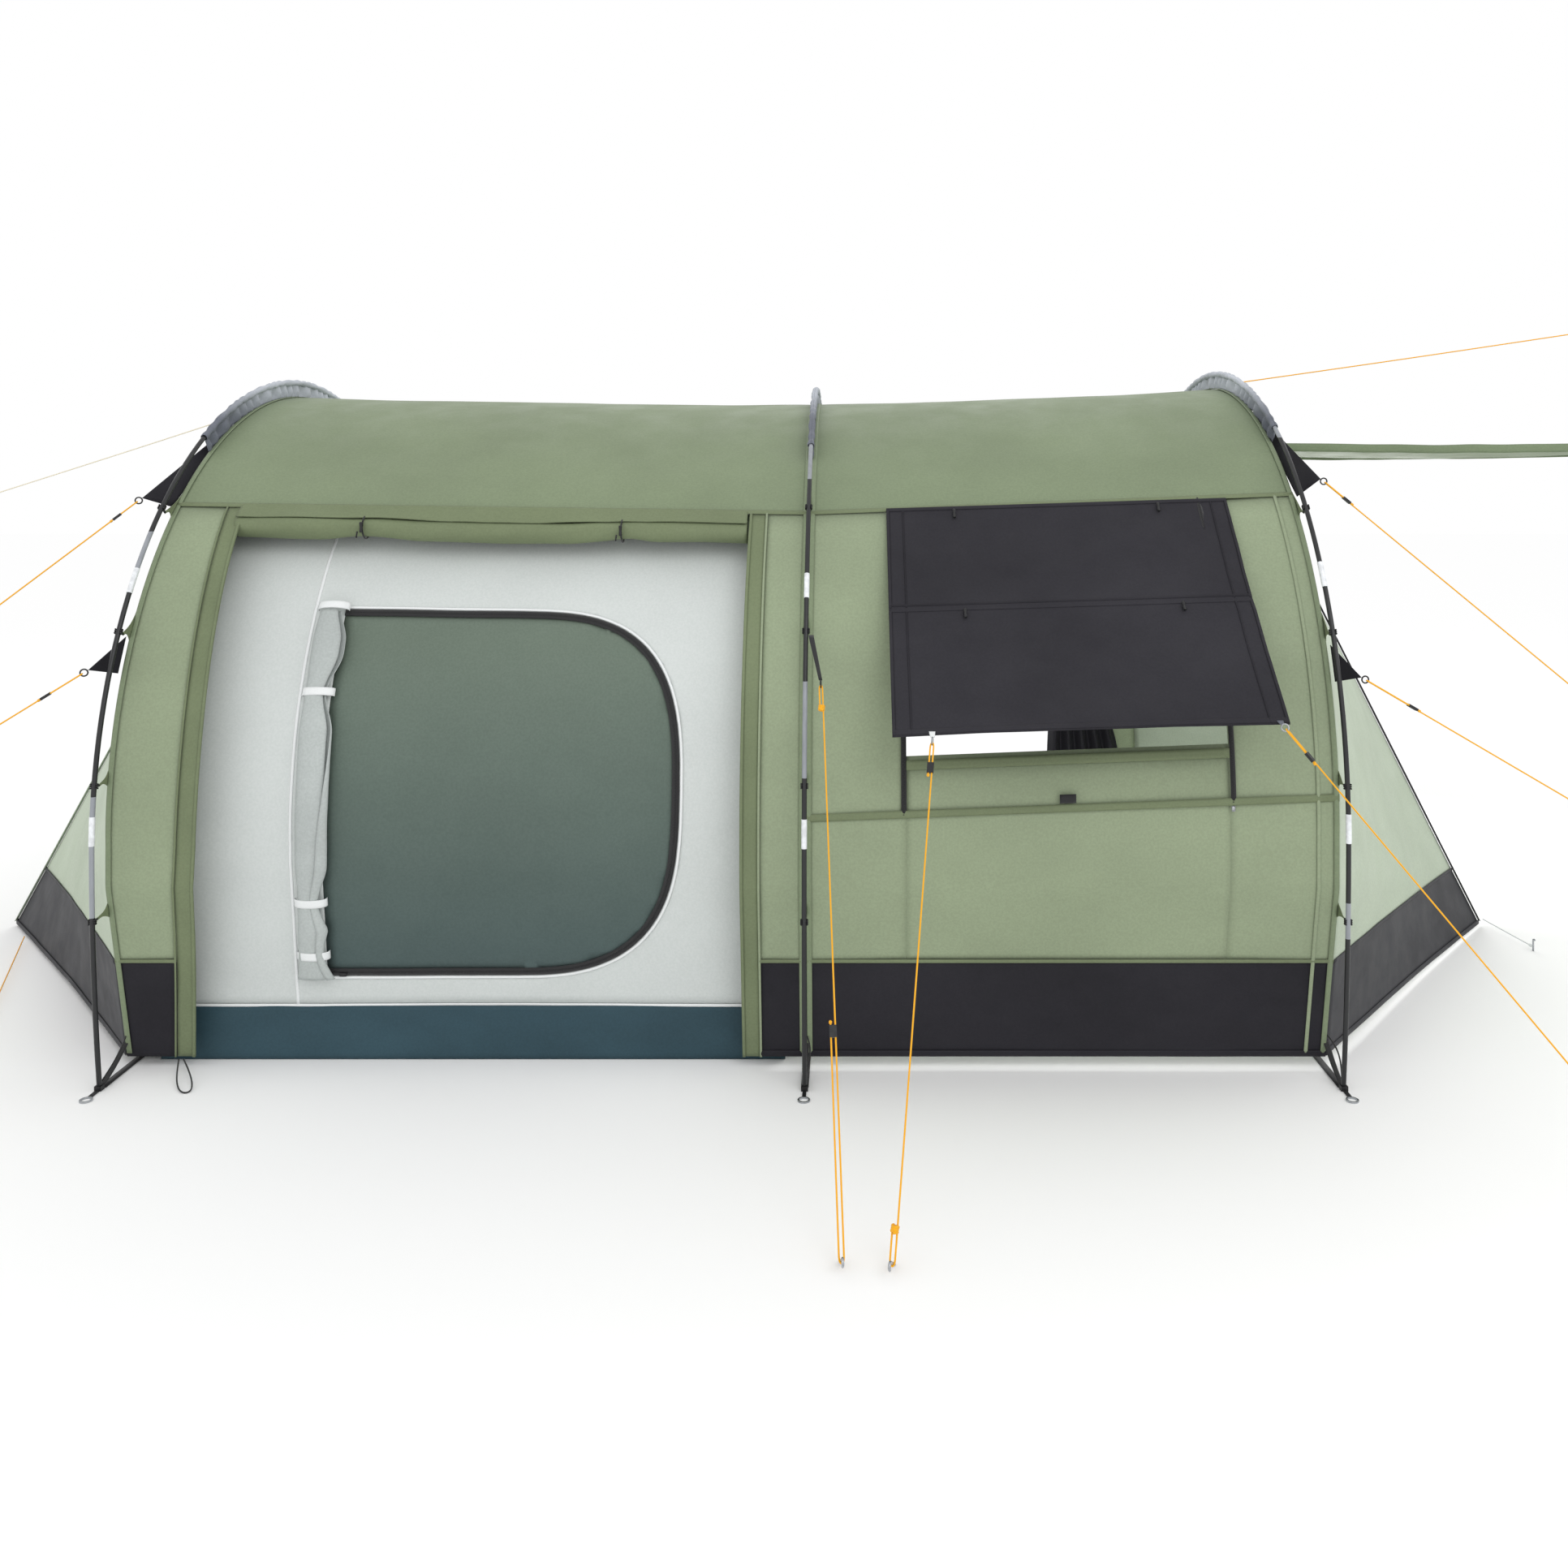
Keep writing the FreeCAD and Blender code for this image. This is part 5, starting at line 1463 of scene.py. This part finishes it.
def zip_line(f, length, width=0.014, tape=TAPE):
    """A zip: two woven tapes and a row of interlocked teeth."""
    parts = [seam_strip("tape", f, max(8, round(length / 0.02)), width, tape, 0.0012, 0.0012)]
    count = round(length / 0.0045)
    verts, faces = [], []
    for i in range(count):
        point, across, out = f((i + 0.5) / count)
        ahead, _, _ = f(min(1.0, (i + 0.9) / count))
        run = (ahead - point).normalized()
        base = len(verts)
        shift = across * (0.0007 if i % 2 else -0.0007)
        for w, r in ((-1, -1), (1, -1), (1, 1), (-1, 1)):
            verts.append(point + shift + across * (w * 0.0021) + run * (r * 0.0011) + out * 0.0018)
        for w, r in ((-1, -1), (1, -1), (1, 1), (-1, 1)):
            verts.append(point + shift + across * (w * 0.0016) + run * (r * 0.0008) + out * 0.0034)
        faces += [(base, base + 3, base + 2, base + 1), (base + 4, base + 5, base + 6, base + 7)]
        for k in range(4):
            faces.append((base + k, base + (k + 1) % 4, base + 4 + (k + 1) % 4, base + 4 + k))
    parts.append(new_object("teeth", verts, faces, PLASTIC, smooth=False))
    return parts


def make_zips():
    parts = []
    for x, outward in ((WINDOW_X[0], -1), (WINDOW_X[1], 1)):
        parts += zip_line(across_seam(x + outward * 0.007, q_of(0.700), SEAM_Q, 0.002), 0.85)
    parts += zip_line(door_edge_frame, INNER_DOOR_LENGTH, 0.020)
    zips = join("zips", *parts)
    on_tent(zips, "zip_tapes")


# ---------------------------------------------------------------- sleeping cabin

INNER_BOTTOM_Q = q_of(0.248, INNER_SPRING, INNER_LOW, INNER_RADIUS)
INNER_DOOR_TOP_Q = 1 + math.radians(31.4) / (math.pi / 2)
INNER_SEAM_Q = 1 + math.radians(50.0) / (math.pi / 2)
INNER_DOOR = (-1.315, -0.355)


def inner_height(q):
    """Distance up the wall from its foot, so that the door is drawn without stretching."""
    if q <= 1:
        return (INNER_SPRING - INNER_LOW[0][0]) * q
    return (INNER_SPRING - INNER_LOW[0][0]) + INNER_RADIUS * (q - 1) * math.pi / 2


def inner_q(height):
    low = INNER_SPRING - INNER_LOW[0][0]
    if height <= low:
        return height / low
    return 1 + (height - low) / (INNER_RADIUS * math.pi / 2)


DOOR_LOW, DOOR_HIGH = inner_height(INNER_BOTTOM_Q), inner_height(INNER_DOOR_TOP_Q)


def door_outline(inset=0.0, count=40):
    """The D-shaped doorway: straight on three sides and rounded on the right."""
    x0, x1 = INNER_DOOR[0] + inset, INNER_DOOR[1] - inset
    low, high = DOOR_LOW + inset, DOOR_HIGH - inset
    middle = (low + high) / 2
    points = [(x0, high)]
    start = -0.800
    for i in range(count + 1):
        a = math.pi / 2 - math.pi * i / count
        reach = (x1 - start) * abs(math.cos(a)) ** 0.72
        rise_ = (high - low) / 2 * math.copysign(abs(math.sin(a)) ** 0.72, math.sin(a))
        points.append((start + reach, middle + rise_))
    points.append((x0, low))
    return points


OUTLINE = door_outline()
OUTLINE_STEPS = [0.0]
for first, second in zip(OUTLINE, OUTLINE[1:]):
    OUTLINE_STEPS.append(OUTLINE_STEPS[-1] + math.dist(first, second))
INNER_DOOR_LENGTH = OUTLINE_STEPS[-1]


def inner_point(x, height, out=0.0):
    bow = -0.010 * math.sin(math.pi * min(1, max(0, (x - INNER_X[0]) / (INNER_X[1] - INNER_X[0]))))
    wave = crumple(x * 1.3, height * 1.2, 0.004, 12.0)
    return inner_at(x, inner_q(height), out + bow * 0.4 + wave)


def inner_normal(x, height):
    up = (inner_point(x, height + 0.01) - inner_point(x, height - 0.01)).normalized()
    out = ALONG.cross(up)
    return out if out.y < 0 else -out


def outline_at(u):
    target = u * INNER_DOOR_LENGTH
    for i in range(len(OUTLINE) - 1):
        if target <= OUTLINE_STEPS[i + 1] or i == len(OUTLINE) - 2:
            t = (target - OUTLINE_STEPS[i]) / max(1e-9, OUTLINE_STEPS[i + 1] - OUTLINE_STEPS[i])
            a, b = OUTLINE[i], OUTLINE[i + 1]
            return a[0] + (b[0] - a[0]) * t, a[1] + (b[1] - a[1]) * t


def door_edge_frame(u, lift=0.002, shift=0.0):
    x, h = outline_at(u)
    xa, ha = outline_at(max(0, u - 0.004))
    xb, hb = outline_at(min(1, u + 0.004))
    run = Vector((xb - xa, hb - ha)).normalized()
    across = Vector((-run.y, run.x))
    x, h = x + across.x * shift, h + across.y * shift
    point, out = inner_point(x, h), inner_normal(x, h)
    wide = inner_point(x + across.x * 0.01, h + across.y * 0.01) - point
    return point + out * lift, wide.normalized(), out


def panel(name, outer, holes, material, spacing=0.03, to3d=inner_point):
    """A sheet cut to an outline with holes, drawn on the unrolled wall."""
    points, edges = [], []
    for ring in (outer, *holes):
        start = len(points)
        points += [Vector(p) for p in ring]
        edges += [(start + i, start + (i + 1) % len(ring)) for i in range(len(ring))]
    xs, hs = [p[0] for p in outer], [p[1] for p in outer]
    nx, nh = round((max(xs) - min(xs)) / spacing), round((max(hs) - min(hs)) / spacing)
    for i in range(1, nx):
        for j in range(1, nh):
            p = (min(xs) + (max(xs) - min(xs)) * i / nx, min(hs) + (max(hs) - min(hs)) * j / nh)
            if inside(p, outer) and not any(inside(p, hole) for hole in holes) and clear_of(p, (outer, *holes), spacing * 0.4):
                points.append(Vector(p))
    verts, _, faces, _, _, _ = delaunay_2d_cdt(points, edges, [], 0, 1e-6)
    kept = []
    for face in faces:
        centre = sum((verts[i] for i in face), Vector((0, 0))) / len(face)
        if inside(centre, outer) and not any(inside(centre, hole) for hole in holes):
            kept.append(tuple(face))
    return sheet_mesh(name, [to3d(v.x, v.y) for v in verts], kept, material)


def inside(p, ring):
    odd = False
    for (x0, y0), (x1, y1) in zip(ring, (*ring[1:], ring[0])):
        if (y0 > p[1]) != (y1 > p[1]) and p[0] < (x1 - x0) * (p[1] - y0) / (y1 - y0) + x0:
            odd = not odd
    return odd


def clear_of(p, rings, distance):
    return all(math.dist(p, q) > distance for ring in rings for q in ring)


def rectangle(x0, x1, h0, h1, step=0.03):
    nx, nh = max(1, round((x1 - x0) / step)), max(1, round((h1 - h0) / step))
    ring = [(x0 + (x1 - x0) * i / nx, h0) for i in range(nx)]
    ring += [(x1, h0 + (h1 - h0) * i / nh) for i in range(nh)]
    ring += [(x1 - (x1 - x0) * i / nx, h1) for i in range(nx)]
    ring += [(x0, h1 - (h1 - h0) * i / nh) for i in range(nh)]
    return ring


def dense(ring, step=0.02):
    out = []
    for a, b in zip(ring, (*ring[1:], ring[0])):
        count = max(1, round(math.dist(a, b) / step))
        out += [(a[0] + (b[0] - a[0]) * i / count, a[1] + (b[1] - a[1]) * i / count) for i in range(count)]
    return out


def make_cabin():
    top = inner_height(INNER_SEAM_Q)
    hole = dense(OUTLINE)
    wall = panel("cabin_wall_near", rectangle(*INNER_X, 0.0, top), [hole], INNER)
    declare(on_tent(wall, "inner_wall_near"), (1.72, 1.46), "hung", ("inner_shell",), 1.60)
    mesh = panel("cabin_door_mesh", hole, [], MESH, 0.03, lambda x, h: inner_point(x, h, -0.002))
    declare(on_tent(mesh, "inner_door_mesh"), (0.96, 1.03), "stretched", ("inner_wall_near",), 0.90)

    def roof(u, v):
        x, q = INNER_X[0] + (INNER_X[1] - INNER_X[0]) * u, INNER_SEAM_Q + (4 - INNER_SEAM_Q) * v
        return inner_at(x, q, crumple(x, q, 0.006, 21.0))

    def end_wall(x, low, high, half0, half1):
        def place(u, v):
            z = low + (high - low) * v
            z_limit = INNER_SPRING + rise(x) + INNER_RADIUS
            z = min(z, z_limit - 0.004)
            q = q_of(max(0.151, z - rise(x) * smooth((z - 0.56) / 0.1)), INNER_SPRING, INNER_LOW, INNER_RADIUS)
            reach = abs(inner_at(x, min(q, 1.999)).y)
            y0, y1 = max(-reach, half0), min(reach, half1)
            if y1 < y0:
                y0 = y1 = max(-reach, min(reach, (y0 + y1) / 2))
            return Vector((x + crumple(u * 2, v * 2, 0.004, 30.0 + x), y0 + (y1 - y0) * u, z))

        return place

    shell = join(
        "cabin_shell",
        grid("a", roof, 60, 110, INNER),
        grid("b", end_wall(INNER_X[0], 0.151, 1.775, -9, 9), 50, 60, INNER),
        grid("c", end_wall(INNER_X[1], 1.300, 1.770, -9, 9), 50, 20, INNER),
        grid("d", end_wall(INNER_X[1], 0.151, 1.300, -9, -0.55), 20, 44, INNER),
        grid("e", end_wall(INNER_X[1], 0.151, 1.300, 0.55, 9), 20, 44, INNER),
    )
    declare(on_tent(shell, "inner_shell"), (8.9, 1.2), "hung", ("hoop_left", "hoop_middle"), 10.4)
    make_tub()
    trims = [
        seam_strip("s", lambda u: door_edge_frame(u, 0.002, 0.016), 120, 0.007, PIPING, 0.001),
        seam_strip("s", lambda u: line_on_wall((INNER_X[0], 0.002), (INNER_X[1], 0.002), u), 80, 0.008, PIPING, 0.002),
        seam_strip("s", lambda u: line_on_wall((-1.400, 0.004), (-1.400, top), u), 80, 0.009, PIPING, 0.001),
    ]
    on_tent(join("cabin_seams", *trims))
    make_cabin_roll()


def line_on_wall(a, b, u):
    x, h = a[0] + (b[0] - a[0]) * u, a[1] + (b[1] - a[1]) * u
    point, out = inner_point(x, h), inner_normal(x, h)
    across = ALONG.cross(out) if a[1] == b[1] else ALONG
    return point, across, out


def make_tub():
    """The floor tray, with soft turned-up sides and slightly drawn corners."""
    x0, x1 = INNER_X
    half = 1.100

    def side(y_sign):
        def place(u, v):
            x = x0 + (x1 - x0) * u
            y = half + (0.005 + 0.0008) * v + 0.003 * noise.noise(Vector((x * 4, v * 2, 5 + y_sign))) * math.sin(math.pi * v)
            return Vector((x, y_sign * y, 0.001 + 0.1485 * v))

        return place

    def end(x):
        def place(u, v):
            return Vector((x + 0.002 * noise.noise(Vector((u * 9, v * 2, 9))), -1.08 + 2.16 * u, 0.001 + 0.147 * v))

        return place

    def floor(u, v):
        x, y = x0 + (x1 - x0) * u, -half + 2 * half * v
        return Vector((x, y, 0.0012 + 0.0008 * (1 + noise.noise(Vector((x * 3, y * 3, 2))))))

    tub = join(
        "floor_tray",
        grid("a", side(-1), 90, 10, TUB, 0.0015),
        grid("b", side(1), 90, 10, TUB, 0.0015),
        grid("c", end(x0 + 0.003), 60, 8, TUB, 0.0012),
        grid("d", end(x1 - 0.004), 60, 8, TUB, 0.0012),
        grid("e", floor, 50, 60, TUB, 0.0012),
    )
    declare(on_tent(tub, "tub_floor"), (2.02, 2.50), "laid", (), 4.95)


def make_cabin_roll():
    """The cabin door rolled aside at its left edge, waisted at the four tabs that hold it."""
    tabs = [0.075, 0.225, 0.770, 1.020]
    low, high = DOOR_LOW - 0.010, DOOR_HIGH - 0.004
    turns = 3.1

    def width(h):
        return min(smooth(abs(h - (DOOR_LOW + t - 0.02)) / 0.11) for t in tabs)

    def place(u, v):
        h = low + (high - low) * u
        free = width(h)
        share = v
        angle = 2 * math.pi * turns * share + 0.6 * math.sin(h * 5)
        reach = (0.003 + 0.022 * share) * (0.62 + 0.38 * free)
        flare = 1.0 + 0.35 * smooth((DOOR_LOW + 0.16 - h) / 0.14)
        centre_x = INNER_DOOR[0] - 0.024
        out = inner_normal(centre_x, h)
        x = centre_x - 0.012 * (1 - free) + reach * 1.95 * flare * math.cos(angle) + 0.004 * noise.noise(Vector((h * 6, 0, 3)))
        base = inner_point(centre_x, h)
        point = base + out * (0.022 + reach * 0.62 * math.sin(angle))
        point.x = x
        return point + out * (0.003 * noise.noise(Vector((h * 9, v * 3, 8))))

    roll = grid("cabin_door_rolled", place, 110, 84, INNER_ROLL, 0.0012)
    declare(on_tent(roll, "inner_door_roll"), (0.38, 1.04), "folded", ("inner_wall_near",))
    parts = []
    for t in tabs:
        h = DOOR_LOW + t - 0.02
        centre_x = INNER_DOOR[0] - 0.022
        out = inner_normal(centre_x, h)
        up = (inner_point(centre_x, h + 0.01) - inner_point(centre_x, h - 0.01)).normalized()

        def strap(u, v, h=h, out=out, up=up, centre_x=centre_x):
            angle = math.pi * (1.08 - 1.16 * u)
            base = inner_point(centre_x, h) + out * 0.012
            point = base + out * (0.019 * math.sin(angle)) + up * ((v - 0.5) * 0.022)
            point.x = centre_x - 0.008 + 0.044 * math.cos(angle)
            return point

        parts.append(grid("t", strap, 22, 4, PIPING, 0.0016))
    on_tent(join("cabin_door_tabs", *parts), "inner_door_tabs")


def make_far_curtain():
    """The far door drawn aside in folds and tied, seen through the window."""
    x_tie, z_tie = 1.105, 0.93

    def place(u, v):
        z = 0.325 + 1.05 * v
        tied = math.exp(-(((z - z_tie) / 0.13) ** 2))
        width = 0.230 - 0.130 * tied + 0.10 * smooth((0.75 - z) / 0.45)
        x = 1.060 + (0.06 - 0.02 * v) + width * (u - 0.35)
        folds = 0.024 * math.sin(2 * math.pi * 5 * u + 2 * math.sin(z * 3)) * (1 - 0.5 * tied)
        q = 4 - q_of(max(0.03, z))
        point = fly_at(x, q, -0.052 + folds)
        return Vector((x, point.y, z))

    curtain = grid("far_door_gathered", place, 90, 50, BAND, 0.0012)
    declare(on_tent(curtain, "far_door_curtain"), (0.48, 1.06), "gathered", ("fly_wall_far",))


# ---------------------------------------------------------------- assembling

make_roof()
make_walls()
make_apses()
make_canopy()
make_clip_tabs()
make_clips()
make_sleeves()
make_guy_gussets()
make_foot_straps()
TOGGLES = make_side_roll()
make_flap(TOGGLES)
on_tent(join("door_toggles", *TOGGLES), "toggles")
make_cabin()
make_zips()
make_far_curtain()

GREY_SPANS = {
    "hoop_left": ((0.46, 0.77), (1.34, 1.45)),
    "hoop_middle": ((0.82, 1.06), (1.60, 1.80)),
    "hoop_right": ((0.40, 0.50), (1.72, 1.88)),
}
for name, spans in GREY_SPANS.items():
    dress(name, sectioned_pole(name + "_tube", spans))
dress("pole_ferrules", FERRULE)
dress("shock_cords", ELASTIC)
dress("peg_rings", STEEL)
dress("guy_rings", PLASTIC)
dress("canopy_lower_tubes", CANOPY_TUBE)
dress("canopy_upper_tubes", CANOPY_TUBE)
on_tent(polished("foot_pins", PLASTIC, 0.0015))
for line in GUYLINES:
    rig.ride(polished("slider_" + line, PLASTIC, 0.0012), "runner_" + line)
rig.ride(polished("window_zip_pull_left", STEEL), "zip_pull_left")
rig.ride(polished("window_zip_pull_right", STEEL), "zip_pull_right")
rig.ride(polished("inner_zip_pull", PLASTIC), "zip_pull_inner")

# ---------------------------------------------------------------- floor and light

floor_mesh = bpy.data.meshes.new("floor")
floor_mesh.from_pydata([(-40, -40, 0), (40, -40, 0), (40, 40, 0), (-40, 40, 0)], [], [(0, 1, 2, 3)])
floor = bpy.data.objects.new("floor", floor_mesh)
floor.location.z = -0.0005
bpy.context.scene.collection.objects.link(floor)
pale = bpy.data.materials.new("pale_floor")
pale.use_nodes = True
pale_shader = next(n for n in pale.node_tree.nodes if n.type == "BSDF_PRINCIPLED")
pale_shader.inputs["Base Color"].default_value = (0.99, 0.99, 0.99, 1)
pale_shader.inputs["Roughness"].default_value = 1.0
pale_shader.inputs["Specular IOR Level"].default_value = 0.0
floor_mesh.materials.append(pale)
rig.stage(floor)

world = bpy.data.worlds.new("studio")
bpy.context.scene.world = world
world.use_nodes = True
background = next(n for n in world.node_tree.nodes if n.type == "BACKGROUND")
background.inputs["Color"].default_value = (1, 1, 1, 1)
background.inputs["Strength"].default_value = 1.0


def area_light(name, place, target, size, power):
    data = bpy.data.lights.new(name, "AREA")
    data.shape = "DISK"
    data.size = size
    data.energy = power
    obj = bpy.data.objects.new(name, data)
    obj.location = place
    obj.rotation_euler = (Vector(target) - Vector(place)).to_track_quat("-Z", "Y").to_euler()
    bpy.context.scene.collection.objects.link(obj)


area_light("key", (3.0, -7.0, 6.0), (0.6, 0, 0.8), 5.0, 125)
area_light("fill", (-5.0, -6.0, 4.0), (-0.5, 0, 0.8), 5.0, 12)
area_light("back", (0.0, 6.0, 6.0), (0, 0, 1.0), 5.0, 30)
area_light("bay", (0.80, 0.10, 1.60), (0.9, 0.5, 0.0), 0.9, 14)
area_light("end", (2.3, 1.9, 1.2), (1.6, 0.4, 0.6), 1.5, 14)
bpy.context.scene.view_settings.view_transform = "Standard"

with open("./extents.json", "w") as out_file:
    sizes = {"cad": [list(v) for v in CAD_BOX], "visual": [list(v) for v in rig.bounds()]}
    json.dump(sizes, out_file)
